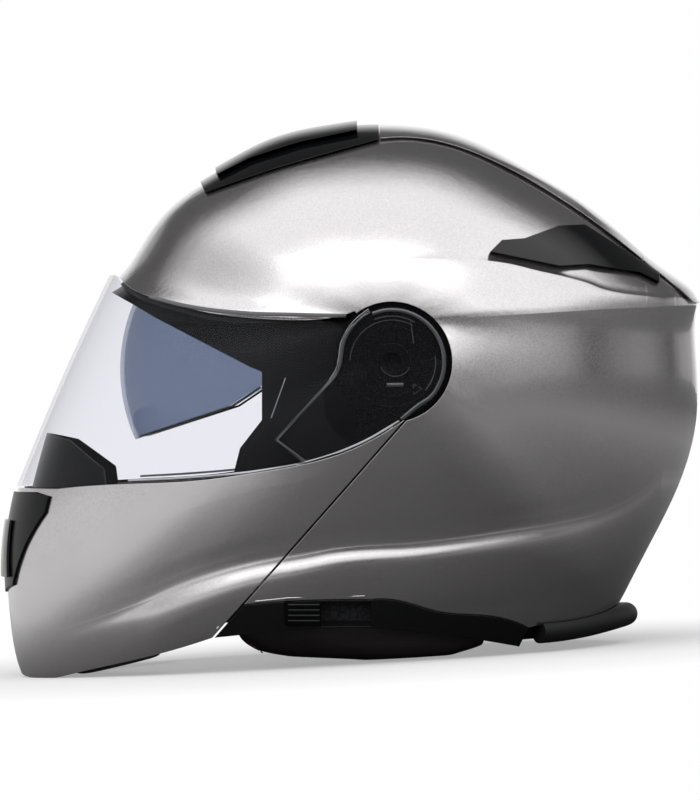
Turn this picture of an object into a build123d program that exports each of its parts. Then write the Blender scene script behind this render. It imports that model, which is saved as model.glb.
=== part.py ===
from build123d import *

import os
from math import acos, cos, radians, sin

# Modular motorcycle helmet: a fixed shell, a chin bar that flips up about two side
# pivots, a clear visor on the same pivots, a tinted sun visor inside and a padded lining.
# Frame: front is -X, the wearer's left is -Y, +Z is up, the helmet stands on its
# chin bar and cheek pads at Z = 0. Lengths are in millimetres, angles in degrees.
# Side views are drawn in the helmet's own tilt, from the pivot: rearward and up.

os.makedirs("parts", exist_ok=True)

# Driving dimensions
shell_length = 350.0
shell_half_width = 122.5
shell_wall = 4.0
tilt = 3.25
part_gap = 0.3
seam_gap = 0.9
overrun = 60.0

# Pivot stack, from the inside of the helmet outward
crown_width_share = 0.95
crown_half_width = crown_width_share * shell_half_width
frame_room_depth = 5.4
frame_face = crown_half_width - frame_room_depth
plate_wall = 1.6
arm_wall = 1.8
arm_relief = 0.4
visor_wall = 2.0
visor_room = 2.3
ear_rise = 1.2
ear_wall = 2.0
ear_dome_radius = 500.0
ear_dome_up = 8.0
recess_radius = 29.0
lobe_radius = 26.5
arm_radius = 24.5
boss_radius = 9.0
spigot_radius = 5.0
running_clearance = 0.08
plate_face = frame_face + part_gap
arm_face = plate_face + plate_wall + part_gap
visor_half_width = crown_half_width + visor_room + visor_wall

# Linings and seals
brow_seal_wall = 1.5
frame_wall = 2.0
frame_depth = 6.2
chin_liner_wall = 15.0
guard_inset = 9.0
guard_wall = 2.0
chin_seal_wall = 2.4
pad_wall = 9.0

# Movements
sun_visor_swing = 42.0
slider_travel = 23.5

# Places of the pivot in the standing helmet
pivot_height_share = 0.4157
pivot_forward_share = 0.0626
pivot_height = pivot_height_share * shell_length
pivot_x = pivot_forward_share * shell_length


def side_vector(angle):
    """Unit vector in the side view, at an angle from rearward towards up."""
    turn = radians(angle - tilt)
    return Vector(cos(turn), 0, sin(turn))


def side_point(rearward, up, across=0.0):
    """Point of the standing helmet from its side view place and its distance across."""
    place = side_vector(0) * rearward + side_vector(90) * up
    return Vector(pivot_x, across, pivot_height) + place


def side_plane(rearward=0.0, up=0.0, across=0.0):
    """Side view plane, seen from the wearer's left."""
    return Plane(origin=side_point(rearward, up, across), x_dir=side_vector(0), z_dir=(0, -1, 0))


def level_plane(rearward, up):
    """Plane square to the helmet's own up, seen from above with the front to the left."""
    return Plane(origin=side_point(rearward, up), x_dir=side_vector(0), z_dir=side_vector(90))


def cross_plane(rearward, up=0.0):
    """Plane across the helmet, seen from the front, with the wearer's right to the left."""
    return Plane(origin=side_point(rearward, up), x_dir=(0, -1, 0), z_dir=side_vector(180))


def scaled(shares):
    """Turn outline points given as shares of the shell length into lengths."""
    return [(first * shell_length, second * shell_length) for first, second in shares]


# The outer form is a fan of arches about a line through both sides, a little above the
# pivot, so that the crease where its two halves meet runs along the side to the rear ridge.
fan_up_share = 0.0543
fan_up = fan_up_share * shell_length
arch_steps = 7

# Each row: angle, reach as a share of the shell length, half width as a share of the
# shell half width, fullness of the arch
crown_row_shares = [
    (3.7, 0.4389, crown_width_share, 2.2),
    (12.2, 0.3909, crown_width_share, 2.2),
    (21.3, 0.352, crown_width_share, 2.17),
    (33.2, 0.3203, crown_width_share, 2.12),
    (45.2, 0.2971, crown_width_share, 2.08),
    (58.5, 0.286, crown_width_share, 2.05),
    (78.8, 0.2826, crown_width_share, 2.05),
    (99.6, 0.2854, crown_width_share, 2.05),
    (113.0, 0.2943, crown_width_share, 2.05),
    (126.9, 0.3103, crown_width_share, 2.05),
    (139.4, 0.3283, crown_width_share, 2.05),
    (149.1, 0.3503, crown_width_share, 2.05),
    (160.8, 0.3711, crown_width_share, 2.05),
    (171.0, 0.4, crown_width_share, 2.05),
    (180.0, 0.4343, 0.962, 2.05),
]
under_row_shares = [
    (3.7, 0.4389, crown_width_share, 2.2),
    (-3.3, 0.436, 0.952, 2.2),
    (-11.3, 0.4477, 0.958, 2.2),
    (-19.3, 0.4597, 0.966, 2.2),
    (-27.8, 0.4689, 0.975, 2.2),
    (-35.6, 0.4771, 0.983, 2.2),
    (-43.1, 0.4903, 0.99, 2.2),
    (-50.0, 0.5114, 0.996, 2.2),
    (-60.0, 0.5486, 1.0, 2.2),
    (-75.0, 0.6, 1.004, 2.2),
    (-90.0, 0.6486, 1.008, 2.2),
    (-105.0, 0.7, 1.012, 2.2),
    (-120.0, 0.7457, 1.012, 2.15),
    (-130.0, 0.7371, 1.012, 2.1),
    (-136.7, 0.7231, 1.012, 2.05),
    (-144.8, 0.6674, 1.012, 2.05),
    (-150.1, 0.63, 1.01, 2.05),
    (-156.2, 0.5829, 1.005, 2.05),
    (-163.0, 0.5371, 0.995, 2.05),
    (-170.0, 0.48, 0.982, 2.05),
    (-180.0, 0.4343, 0.962, 2.05),
]

# The visor is lofted upwards. Each row: height, reach and half width, as shares of the
# shell length, the shell length and the visor's half width
visor_row_shares = [
    (0.1486, 0.3891, 0.975),
    (0.0857, 0.42, 0.998),
    (0.0143, 0.4531, 1.0),
    (-0.0571, 0.4846, 0.993),
    (-0.1286, 0.5143, 0.968),
    (-0.2143, 0.5486, 0.925),
]


def arch_curve(points):
    """Smooth curve through the points of an arch, evenly spaced so that arches loft cleanly."""
    steps = [step / (len(points) - 1) for step in range(len(points))]
    return Edge.make_spline([Vector(*point) for point in points], parameters=steps)


def arch_points(reach, half_width, fullness, core):
    """Points of one arch from one side of the fan line over the shell to the other."""
    last = acos((core / reach) ** (fullness / 2))
    points = []
    for step in range(-arch_steps, arch_steps + 1):
        turn = last * step / arch_steps
        side = 1 if step >= 0 else -1
        out = reach * cos(turn) ** (2 / fullness)
        across = side * half_width * abs(sin(turn)) ** (2 / fullness)
        points.append((out, across))
    return points


def fan_plane(angle):
    """Half plane of the fan, through the fan line at one angle."""
    out = side_vector(angle)
    return Plane(origin=side_point(0, fan_up), x_dir=out, z_dir=out.cross(Vector(0, 1, 0)))


def fan_body(rows, inset, side_inset, core):
    """Solid between the arches of some rows, drawn in all round by the insets."""
    with BuildPart() as body:
        for angle, reach_share, width_share, fullness in rows:
            reach = reach_share * shell_length - inset
            half_width = width_share * shell_half_width - side_inset
            with BuildSketch(fan_plane(angle)):
                with BuildLine():
                    arch = arch_curve(arch_points(reach, half_width, fullness, core))
                    add(arch)
                    Line(arch @ 1, arch @ 0)
                make_face()
        loft()
    return body.part


core_radius = 8.0
core_spread = 1.5


def helmet_body(inset, side_inset, lower_rows):
    """The whole outer form drawn in by the insets, as one solid."""
    core = core_radius + max(inset, 0)
    with BuildPart() as body:
        add(fan_body(crown_rows, inset, side_inset, core))
        add(fan_body(lower_rows, inset, side_inset, core))
        with BuildSketch(side_plane(0, fan_up)):
            Circle(core + core_spread)
        extrude(amount=crown_half_width - side_inset - core_spread, both=True)
    return body.part


def outline(runs):
    """Closed outline from runs of shares: two points give a line, more give a curve."""
    with BuildLine() as closed:
        for run in runs:
            points = scaled(run)
            if len(points) > 2:
                Spline(*points)
            else:
                Line(*points)
    return closed.line


half_span = shell_half_width + overrun


def side_prism(runs, growth=0.0):
    """Solid with a side view outline, right through the width of the helmet."""
    with BuildPart() as prism:
        with BuildSketch(side_plane()):
            with BuildLine():
                add(outline(runs))
            make_face()
            if growth:
                offset(amount=growth)
        extrude(amount=half_span, both=True)
    return prism.part


def side_disc(radius, rearward=0.0, up=0.0):
    """Round solid about a line across the helmet, right through its width."""
    with BuildPart() as disc:
        with BuildSketch(side_plane(rearward, up)):
            Circle(radius)
        extrude(amount=half_span, both=True)
    return disc.part


def closed_run(points):
    """Runs of straight lines through some points and back to the first."""
    return [[first, second] for first, second in zip(points, points[1:] + points[:1])]


def save(name, part):
    """Label a finished piece and write its file."""
    part.label = name
    export_step(part, f"parts/{name}.step")


sides = [(-1, "left"), (1, "right")]


def one_side(part, side):
    """The half of a piece on one side of the middle plane."""
    with BuildPart() as half:
        add(part)
        split(bisect_by=Plane.XZ, keep=Keep.BOTTOM if side > 0 else Keep.TOP)
    return half.part


# Side view outlines, as shares of the shell length from the pivot
brow_shares = [
    (-0.3886, 0.1286), (-0.3769, 0.114), (-0.3083, 0.0829), (-0.2654, 0.0711),
    (-0.1954, 0.0609), (-0.1263, 0.0577), (-0.0851, 0.0603), (-0.0509, 0.07),
]
seam_top_share = (0.0177, -0.0789)
seam_bottom_share = (-0.2483, -0.3811)
trim_start_share = (-0.2071, -0.3343)
chin_top_shares = [
    (-0.4663, -0.1763), (-0.3486, -0.1677), (-0.2654, -0.1629), (-0.1929, -0.1529),
    (-0.1154, -0.1389), (-0.0577, -0.1209), (-0.0163, -0.1003), seam_top_share,
]
chin_bottom_shares = [
    seam_bottom_share, (-0.3403, -0.4094), (-0.448, -0.4366), (-0.48, -0.4446), (-0.5263, -0.4417),
]
trim_front_shares = [trim_start_share, (-0.1403, -0.3289), (-0.03, -0.3271)]
trim_rear_shares = [
    (-0.03, -0.3271), (0.0166, -0.33), (0.062, -0.3437), (0.1214, -0.3494), (0.1906, -0.3689),
]
rim_shares = [(0.1906, -0.3689), (0.2629, -0.3629), (0.3206, -0.3489), (0.3357, -0.3377)]
far_share = 0.6
shell_runs = [
    brow_shares,
    [brow_shares[-1], (0.0, 0.0)],
    [(0.0, 0.0), seam_top_share],
    [seam_top_share, trim_start_share],
    trim_front_shares,
    trim_rear_shares,
    rim_shares,
    [rim_shares[-1], (far_share, -0.2)],
    [(far_share, -0.2), (far_share, far_share)],
    [(far_share, far_share), (-far_share, far_share)],
    [(-far_share, far_share), (-far_share, 0.25)],
    [(-far_share, 0.25), brow_shares[0]],
]
chin_runs = [
    [(-far_share, -0.1763), chin_top_shares[0]],
    chin_top_shares,
    [seam_top_share, seam_bottom_share],
    chin_bottom_shares,
    [chin_bottom_shares[-1], (-far_share, -0.4417)],
    [(-far_share, -0.4417), (-far_share, -0.1763)],
]

lower_rows = under_row_shares
frame_lower_rows = [(row[0], row[1], crown_width_share, row[3]) for row in under_row_shares]
crown_rows = crown_row_shares

outer_body = helmet_body(0, 0, lower_rows)
wall_body = helmet_body(shell_wall, shell_wall, lower_rows)
lining_inset = shell_wall + part_gap
lining_body = helmet_body(lining_inset, lining_inset, lower_rows)
frame_side_inset = crown_half_width - frame_face
frame_body = helmet_body(frame_depth, frame_side_inset, frame_lower_rows)
frame_inner_inset = frame_depth + frame_wall
frame_inner_body = helmet_body(frame_inner_inset, frame_side_inset + frame_wall, frame_lower_rows)

chin_prism = side_prism(chin_runs)
chin_room = side_prism(chin_runs, growth=seam_gap)
recess_disc = side_disc(recess_radius)

# Fixed shell: open at the eye port and the neck, with a round recess at each pivot
crest_rise = 1.5
crest_sink = 1.0
crest_runs = [
    [(-0.0151, 0.3154), (0.0554, 0.3143), (0.1546, 0.2803), (0.2654, 0.2143), (0.3546, 0.1469), (0.4274, 0.0863)],
    [(0.4274, 0.0863), (far_share, 0.08)],
    [(far_share, 0.08), (far_share, far_share)],
    [(far_share, far_share), (-0.02, far_share)],
    [(-0.02, far_share), (-0.0151, 0.3154)],
]


def crown_patch(runs, outer_rise, inner_rise):
    """Piece of the crown surface between two heights, inside a side view outline."""
    with BuildPart() as patch:
        add(fan_body(crown_rows, -outer_rise, -outer_rise, core_radius))
        add(side_prism(runs), mode=Mode.INTERSECT)
        add(fan_body(crown_rows, -inner_rise, -inner_rise, core_radius), mode=Mode.SUBTRACT)
    return patch.part


with BuildPart() as outer_shell:
    add(outer_body)
    add(side_prism(shell_runs), mode=Mode.INTERSECT)
    add(chin_room, mode=Mode.SUBTRACT)
    add(recess_disc, mode=Mode.SUBTRACT)
    add(wall_body, mode=Mode.SUBTRACT)
    add(crown_patch(crest_runs, crest_rise, -crest_sink))
save("outer_shell", outer_shell.part)

# Eye port frame behind the shell, with the brow seal along the shell's lower edge
aperture_shares = [
    (-0.4, 0.1029), (-0.3574, 0.0794), (-0.3291, 0.0626), (-0.274, 0.034), (-0.1957, -0.0066),
    (-0.1791, -0.0134), (-0.1791, -0.0797), (-0.2094, -0.1186), (-0.2229, -0.1714),
]
frame_outer_shares = [
    (-0.2286, -0.2343), (-0.1286, -0.24), (-0.0143, -0.1771), (0.1143, -0.1143),
    (0.1286, 0.0571), (0.0571, 0.1371), (-0.1714, 0.1257), (-0.3657, 0.1486), (-0.4, 0.1486),
]
frame_runs = closed_run(aperture_shares + frame_outer_shares)
frame_prism = side_prism(frame_runs)

with BuildPart() as eyeport_frame:
    add(frame_body)
    add(frame_prism, mode=Mode.INTERSECT)
    add(frame_inner_body, mode=Mode.SUBTRACT)
    with BuildSketch(side_plane()):
        Circle(boss_radius + part_gap)
    extrude(amount=half_span, both=True, mode=Mode.SUBTRACT)
    for side in (-1, 1):
        with BuildSketch(side_plane(across=side * frame_face)):
            Circle(recess_radius)
        extrude(amount=-side * overrun, mode=Mode.SUBTRACT)
save("eyeport_frame", eyeport_frame.part)

seal_drop_share = 0.0086
seal_rise_share = 0.0008
seal_depth_share = 0.017
seal_lift_share = 0.02
brow_seal_end_share = (-0.0886, 0.0517)


def moved(points, rearward, up):
    """Outline points moved by shares of the shell length."""
    return [(first + rearward, second + up) for first, second in points]


brow_seal_points = 6
brow_low_shares = moved(brow_shares[:brow_seal_points], 0.0, -seal_drop_share) + [brow_seal_end_share]
brow_high_shares = moved(brow_shares[:brow_seal_points], 0.0, seal_lift_share)
brow_seal_runs = [
    brow_low_shares,
    [brow_low_shares[-1], brow_high_shares[-1]],
    brow_high_shares[::-1],
    [brow_high_shares[0], (-far_share, 0.1486)],
    [(-far_share, 0.1486), (-far_share, 0.12)],
    [(-far_share, 0.12), brow_low_shares[0]],
]
brow_seal_inset = lining_inset + brow_seal_wall
with BuildPart() as brow_seal:
    add(fan_body(crown_rows, lining_inset, lining_inset, core_radius + lining_inset))
    add(side_prism(brow_seal_runs), mode=Mode.INTERSECT)
    seal_side_inset = frame_side_inset - part_gap
    inner = fan_body(crown_rows, brow_seal_inset, seal_side_inset, core_radius + brow_seal_inset)
    add(inner, mode=Mode.SUBTRACT)
save("brow_seal", brow_seal.part)

# Chin bar: a U-shaped wall from pivot to pivot, open to the front vent
with BuildPart() as chin_shell:
    add(outer_body)
    add(chin_prism, mode=Mode.INTERSECT)
    add(wall_body, mode=Mode.SUBTRACT)
    split(bisect_by=Plane.XY, keep=Keep.TOP)
save("chin_shell", chin_shell.part)

chin_liner_inset = lining_inset + chin_liner_wall
chin_liner_runs = closed_run([
    (-far_share, -0.198), (-0.3371, -0.1926), (-0.3086, -0.2857), (-0.32, -0.3943),
    (-0.4571, -0.4263), (-far_share, -0.4263),
])


def under_patch(runs, outer_inset, inner_inset):
    """Piece of the side, rear or chin wall between two insets, inside a side view outline."""
    with BuildPart() as patch:
        add(fan_body(lower_rows, outer_inset, outer_inset, core_radius + max(outer_inset, 0)))
        add(side_prism(runs), mode=Mode.INTERSECT)
        inner = fan_body(lower_rows, inner_inset, inner_inset, core_radius + max(inner_inset, 0))
        add(inner, mode=Mode.SUBTRACT)
    return patch.part


chin_liner = under_patch(chin_liner_runs, lining_inset, chin_liner_inset)
save("chin_liner", chin_liner)

breath_guard_runs = closed_run([
    (-far_share, -0.1955), (-0.3943, -0.1925), (-0.4, -0.1486), (-0.4514, -0.1086), (-0.5086, -0.0943),
    (-far_share, -0.0943),
])
breath_guard = under_patch(breath_guard_runs, guard_inset, guard_inset + guard_wall)
save("breath_guard", breath_guard)

chin_seal_points = 5
seal_top_shares = moved(chin_top_shares[:chin_seal_points], 0.0, seal_rise_share)
seal_low_shares = moved(chin_top_shares[:chin_seal_points], 0.0, -seal_depth_share)
chin_seal_runs = [
    seal_top_shares,
    [seal_top_shares[-1], seal_low_shares[-1]],
    seal_low_shares[::-1],
    [seal_low_shares[0], (-far_share, seal_low_shares[0][1])],
    [(-far_share, seal_low_shares[0][1]), (-far_share, seal_top_shares[0][1])],
    [(-far_share, seal_top_shares[0][1]), seal_top_shares[0]],
]
chin_seal = under_patch(chin_seal_runs, lining_inset, lining_inset + chin_seal_wall)
save("chin_seal", chin_seal)

# Clear visor: a curved sheet with a raised ear at each pivot
ear_shares = [
    (0.0, 0.0), (-0.0314, 0.0689), (-0.0643, 0.0231), (-0.0711, -0.0111), (-0.078, -0.022),
    (-0.1603, -0.1069), (-0.122, -0.1414), (-0.0577, -0.13), (0.0165, -0.079), (0.0286, -0.0709),
]
brow_edge_points = 7
brow_edge_drop = -0.0034
brow_edge_shares = moved(brow_shares[:brow_edge_points], 0.0, brow_edge_drop)
over_visor_runs = [
    brow_edge_shares,
    [brow_edge_shares[-1], (0.0, 0.0)],
    [(0.0, 0.0), (0.0, -0.2)],
    [(0.0, -0.2), (0.2, -0.2)],
    [(0.2, -0.2), (0.2, far_share)],
    [(0.2, far_share), (-far_share, far_share)],
    [(-far_share, far_share), (-far_share, 0.13)],
    [(-far_share, 0.13), brow_edge_shares[0]],
]
chin_edge_rise = 0.0018
chin_edge_shares = moved(chin_top_shares, 0.0, chin_edge_rise)
under_visor_runs = [
    [(-far_share, chin_edge_shares[0][1]), chin_edge_shares[0]],
    chin_edge_shares,
    [chin_edge_shares[-1], (chin_edge_shares[-1][0], -far_share)],
    [(chin_edge_shares[-1][0], -far_share), (-far_share, -far_share)],
    [(-far_share, -far_share), (-far_share, chin_edge_shares[0][1])],
]
visor_edge_room = side_prism(under_visor_runs)
visor_fullness = 2.1
visor_core = 12.0
ear_face = visor_half_width + ear_rise
spigot_length = ear_face - plate_face - plate_wall / 2


def visor_sheet():
    """Curved sheet of the visor, lofted upwards through U-shaped bands."""
    with BuildPart() as sheet:
        for up_share, reach_share, width_share in visor_row_shares:
            reach = reach_share * shell_length
            half_width = width_share * visor_half_width
            outer_points = arch_points(reach, half_width, visor_fullness, visor_core)
            inner_points = arch_points(reach - visor_wall, half_width - visor_wall, visor_fullness, visor_core)
            with BuildSketch(level_plane(0, up_share * shell_length)):
                with BuildLine():
                    outer = arch_curve([(-out, across) for out, across in outer_points])
                    inner = arch_curve([(-out, across) for out, across in inner_points])
                    add([outer, inner])
                    Line(outer @ 0, inner @ 0)
                    Line(outer @ 1, inner @ 1)
                make_face()
        loft()
    return sheet.part


with BuildPart() as ear_prism:
    with BuildSketch(side_plane()):
        with BuildLine():
            add(outline(closed_run(ear_shares)))
        make_face()
        Circle(lobe_radius)
    extrude(amount=half_span, both=True)

with BuildPart() as visor_lens:
    add(visor_sheet())
    add(side_prism(over_visor_runs), mode=Mode.SUBTRACT)
    add(visor_edge_room, mode=Mode.SUBTRACT)
    for side in (-1, 1):
        with BuildPart(mode=Mode.PRIVATE) as ear:
            with Locations(side_point(0, ear_dome_up, side * (ear_face - ear_dome_radius))):
                Sphere(ear_dome_radius)
                Sphere(ear_dome_radius - ear_wall, mode=Mode.SUBTRACT)
            add(ear_prism.part, mode=Mode.INTERSECT)
            add(visor_edge_room, mode=Mode.SUBTRACT)
        add(one_side(ear.part, side))
    for side in (-1, 1):
        with BuildSketch(side_plane(across=side * (ear_face - ear_wall / 2))):
            Circle(spigot_radius)
        extrude(amount=side * spigot_length)
save("visor_lens", visor_lens.part)

# Pivots: a fixed plate with a boss, and the chin bar's arm turning on it
arm_shares = [
    (-0.0543, -0.0429), (-0.0486, -0.1186), (-0.0286, -0.13), (-0.0114, -0.1114), (0.0086, -0.0871),
    (0.0343, -0.06),
]
arc_rib_wall = 1.2
rib_edge = 2.0
rib_pitch = 5.0
arc_rib_radii = (arm_radius - rib_edge, arm_radius - rib_edge - rib_pitch)


def ring(radius, wall):
    """Flat ring about the middle of its plane."""
    with BuildSketch(Plane.XY) as flat:
        Circle(radius)
        Circle(radius - wall, mode=Mode.SUBTRACT)
    return flat.sketch


for side, side_name in sides:
    outward = -side
    with BuildPart() as pivot_plate:
        with BuildSketch(side_plane(across=side * plate_face)):
            Circle(recess_radius - part_gap)
        extrude(amount=outward * plate_wall)
        with BuildSketch(side_plane(across=side * plate_face)):
            Circle(boss_radius)
        extrude(amount=outward * (arm_face + arm_wall + arm_relief - plate_face))
        with BuildSketch(side_plane()):
            Circle(spigot_radius + running_clearance)
        extrude(amount=half_span, both=True, mode=Mode.SUBTRACT)
    save(f"pivot_plate_{side_name}", pivot_plate.part)

    with BuildPart() as pivot_arm:
        with BuildSketch(side_plane(across=side * arm_face)):
            Circle(arm_radius)
            with BuildLine():
                add(outline(closed_run(arm_shares)))
            make_face()
        extrude(amount=outward * arm_wall)
        with BuildSketch(side_plane(across=side * (arm_face + arm_wall))):
            for rib_radius in arc_rib_radii:
                add(ring(rib_radius, arc_rib_wall))
        extrude(amount=outward * arm_relief)
        with BuildSketch(side_plane()):
            Circle(boss_radius + running_clearance)
        extrude(amount=half_span, both=True, mode=Mode.SUBTRACT)
    save(f"pivot_arm_{side_name}", pivot_arm.part)

# Head room and linings
head_row_shares = [
    (-0.4286, 0.0286, 0.2971, 0.74),
    (-0.3143, 0.0229, 0.3143, 0.76),
    (-0.1714, 0.0171, 0.32, 0.765),
    (-0.0286, 0.0143, 0.32, 0.7347),
    (0.0857, 0.0114, 0.3057, 0.6857),
    (0.1657, 0.0086, 0.2571, 0.5714),
    (0.2171, 0.0086, 0.1829, 0.4082),
    (0.2514, 0.0086, 0.08, 0.1796),
]


def head_form(inset):
    """Rounded room for the head, open downwards, drawn in by an inset."""
    with BuildPart() as form:
        for up_share, centre_share, length_share, width_share in head_row_shares:
            drop = inset * max(up_share, 0) / head_row_shares[-1][0]
            with BuildSketch(level_plane(centre_share * shell_length, up_share * shell_length - drop)):
                Ellipse(length_share * shell_length - inset, width_share * shell_half_width - inset)
        loft()
    return form.part


head_room = head_form(0)
comfort_outer = head_form(part_gap)
comfort_inner = head_form(part_gap + pad_wall)

# Sun visor: part of a barrel that swings about its own line across the helmet
sun_visor_radius = 85.3
sun_visor_half_width = 92.5
sun_visor_wall = 2.0
sun_visor_room = 1.2
sun_visor_fullness = 2.1
sun_visor_top_angle = 140.0
sun_visor_low_angle = 212.0
sun_visor_core = 2.0
lug_radius = 9.0
pin_radius = 3.0
pin_length = 20.0
pin_tail = 3.0
pocket_margin = 6.0
lug_margin = 2.0
sun_pivot_rearward = -0.142 * shell_length
sun_pivot_up = -0.008 * shell_length
sun_visor_runs = closed_run([
    (-0.4, -0.1206), (-0.1823, -0.0466), (-0.16, -0.031), (-0.142, -0.033), (-0.142, 0.018),
    (-0.19, 0.03), (-0.26, 0.075), (-0.33, 0.137), (-0.46, 0.137),
])


def barrel_band(outer_room, inner_room, high_angle, low_angle):
    """Curved band about the sun visor's line, between two angles in the side view."""
    out = side_vector(low_angle)
    origin = side_point(sun_pivot_rearward, sun_pivot_up)
    plane = Plane(origin=origin, x_dir=out, z_dir=out.cross(Vector(0, 1, 0)))
    outer = (sun_visor_radius + outer_room, sun_visor_half_width + outer_room)
    drawn_in = sun_visor_wall + inner_room
    inner = (sun_visor_radius - drawn_in, sun_visor_half_width - drawn_in)
    with BuildPart() as band:
        with BuildSketch(plane):
            with BuildLine():
                outer_arch = arch_curve(arch_points(*outer, sun_visor_fullness, sun_visor_core))
                inner_arch = arch_curve(arch_points(*inner, sun_visor_fullness, sun_visor_core))
                add([outer_arch, inner_arch])
                Line(outer_arch @ 0, inner_arch @ 0)
                Line(outer_arch @ 1, inner_arch @ 1)
            make_face()
        revolve(axis=Axis(origin, (0, 1, 0)), revolution_arc=low_angle - high_angle)
    return band.part


with BuildPart() as sun_visor_lens:
    add(barrel_band(0, 0, sun_visor_top_angle, sun_visor_low_angle))
    add(side_prism(sun_visor_runs), mode=Mode.INTERSECT)
    for side in (-1, 1):
        with BuildSketch(side_plane(sun_pivot_rearward, sun_pivot_up, side * sun_visor_half_width)):
            Circle(lug_radius)
        extrude(amount=side * sun_visor_wall)
    with BuildSketch(side_plane(sun_pivot_rearward, sun_pivot_up)):
        Circle(pin_radius + running_clearance)
    extrude(amount=half_span, both=True, mode=Mode.SUBTRACT)
save("sun_visor_lens", sun_visor_lens.part)

for side, side_name in sides:
    with BuildPart() as sun_visor_pin:
        with BuildSketch(side_plane(sun_pivot_rearward, sun_pivot_up, side * (sun_visor_half_width - pin_tail))):
            Circle(pin_radius)
        extrude(amount=-side * pin_length)
        add(frame_inner_body, mode=Mode.INTERSECT)
    save(f"sun_visor_pin_{side_name}", sun_visor_pin.part)

sweep_end = sun_visor_top_angle - sun_visor_swing - pocket_margin
sun_visor_pocket = barrel_band(sun_visor_room, sun_visor_room, sweep_end, sun_visor_low_angle + pocket_margin)
lug_room = side_disc(lug_radius + sun_visor_room + lug_margin, sun_pivot_rearward, sun_pivot_up)

liner_runs = closed_run([
    (-0.44, 0.125), (-0.365, 0.1), (-0.2714, 0.0457), (-0.1771, 0.0), (-0.1486, -0.0857),
    (-0.1143, -0.1714), (-0.0286, -0.2714), (0.1143, -0.3371), (0.3, -0.3371), (far_share, -0.3),
    (far_share, far_share), (-far_share, far_share), (-far_share, 0.125),
])
with BuildPart() as frame_room:
    add(side_prism(frame_runs, growth=part_gap))
    add(helmet_body(frame_inner_inset + part_gap, frame_side_inset + frame_wall + part_gap, frame_lower_rows),
        mode=Mode.SUBTRACT)
hub_face = crown_half_width - frame_side_inset - frame_wall - core_spread - 3 * part_gap
with BuildPart() as impact_liner:
    add(lining_body)
    add(side_prism(liner_runs), mode=Mode.INTERSECT)
    add(head_room, mode=Mode.SUBTRACT)
    add(frame_room.part, mode=Mode.SUBTRACT)
    add(sun_visor_pocket, mode=Mode.SUBTRACT)
    add(lug_room, mode=Mode.SUBTRACT)
    for side in (-1, 1):
        with BuildSketch(side_plane(0, fan_up, side * hub_face)):
            Circle(core_radius + frame_inner_inset + core_spread + lug_margin)
        extrude(amount=-side * overrun, mode=Mode.SUBTRACT)
save("impact_liner", impact_liner.part)

comfort_runs = closed_run([
    (-0.4, 0.0714), (-0.1714, 0.0143), (0.1143, -0.0714), (0.4, -0.1714), (0.4, 0.35), (-0.4, 0.35),
])
with BuildPart() as comfort_liner:
    add(comfort_outer)
    add(side_prism(comfort_runs), mode=Mode.INTERSECT)
    add(comfort_inner, mode=Mode.SUBTRACT)
save("comfort_liner", comfort_liner.part)

# Side trims along the lower edge of the shell, with the sun visor slider on the left
trim_rise = 0.8
trim_seam_share = -0.0012
trim_low_shares = [
    (0.178, -0.3957), (0.094, -0.3803), (0.0169, -0.3706), (-0.0934, -0.3669), (-0.1529, -0.3711),
    (-0.2483, -0.3811),
]
trim_runs = [
    moved(trim_front_shares, 0.0, trim_seam_share),
    moved(trim_rear_shares, 0.0, trim_seam_share),
    [moved(trim_rear_shares, 0.0, trim_seam_share)[-1], trim_low_shares[0]],
    trim_low_shares,
    [trim_low_shares[-1], moved(trim_front_shares, 0.0, trim_seam_share)[0]],
]
slot_rearward = -0.1469 * shell_length
slot_up = -0.3474 * shell_length
knob_length = 17.4
knob_height = 11.5
slot_length = knob_length + slider_travel + 2 * part_gap
knob_rise = 2.0
knob_depth = 3.0
trim_pair = under_patch(trim_runs, -trim_rise, shell_wall)
with BuildPart() as slider_slot:
    with BuildSketch(side_plane(slot_rearward - part_gap, slot_up)):
        Rectangle(slot_length, knob_height + 2 * part_gap, align=(Align.MIN, Align.CENTER))
    extrude(amount=half_span)
for side, side_name in sides:
    with BuildPart() as side_trim:
        add(one_side(trim_pair, side))
        add(chin_room, mode=Mode.SUBTRACT)
        if side < 0:
            add(slider_slot.part, mode=Mode.SUBTRACT)
    save(f"side_trim_{side_name}", side_trim.part)

knob_runs = closed_run([(-far_share, -0.4), (0.2, -0.4), (0.2, -0.3), (-far_share, -0.3)])
knob_band = under_patch(knob_runs, -knob_rise, knob_depth)
with BuildPart() as sun_visor_slider:
    with BuildSketch(side_plane(slot_rearward, slot_up)):
        Rectangle(knob_length, knob_height, align=(Align.MIN, Align.CENTER))
    extrude(amount=half_span)
    add(knob_band, mode=Mode.INTERSECT)
save("sun_visor_slider", sun_visor_slider.part)

# Rubber rim along the rear lower edge, with a groove for the shell, and the neck roll inside
rim_radius = 5.6
rim_path_shares = [
    (0.2057, -0.3757, 0.58), (0.2629, -0.3706, 0.433), (0.3143, -0.3614, 0.214), (0.3371, -0.3571, 0.0),
]
groove_runs = [
    [(0.1, -0.3494), (0.1906, -0.3689)],
    rim_shares,
    [rim_shares[-1], (far_share, -0.2)],
    [(far_share, -0.2), (0.1, -0.2)],
    [(0.1, -0.2), (0.1, -0.3494)],
]
groove_runs = [[(first, second - part_gap / shell_length) for first, second in run] for run in groove_runs]


def swept_path(rows):
    """Curve round the back of the neck through places of one side and their mirror images."""
    points = [
        side_point(first * shell_length, second * shell_length, side * third * shell_half_width)
        for side, part_rows in ((-1, rows), (1, rows[-2::-1]))
        for first, second, third in part_rows
    ]
    with BuildLine() as path:
        Spline(*points)
    return path.line


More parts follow.
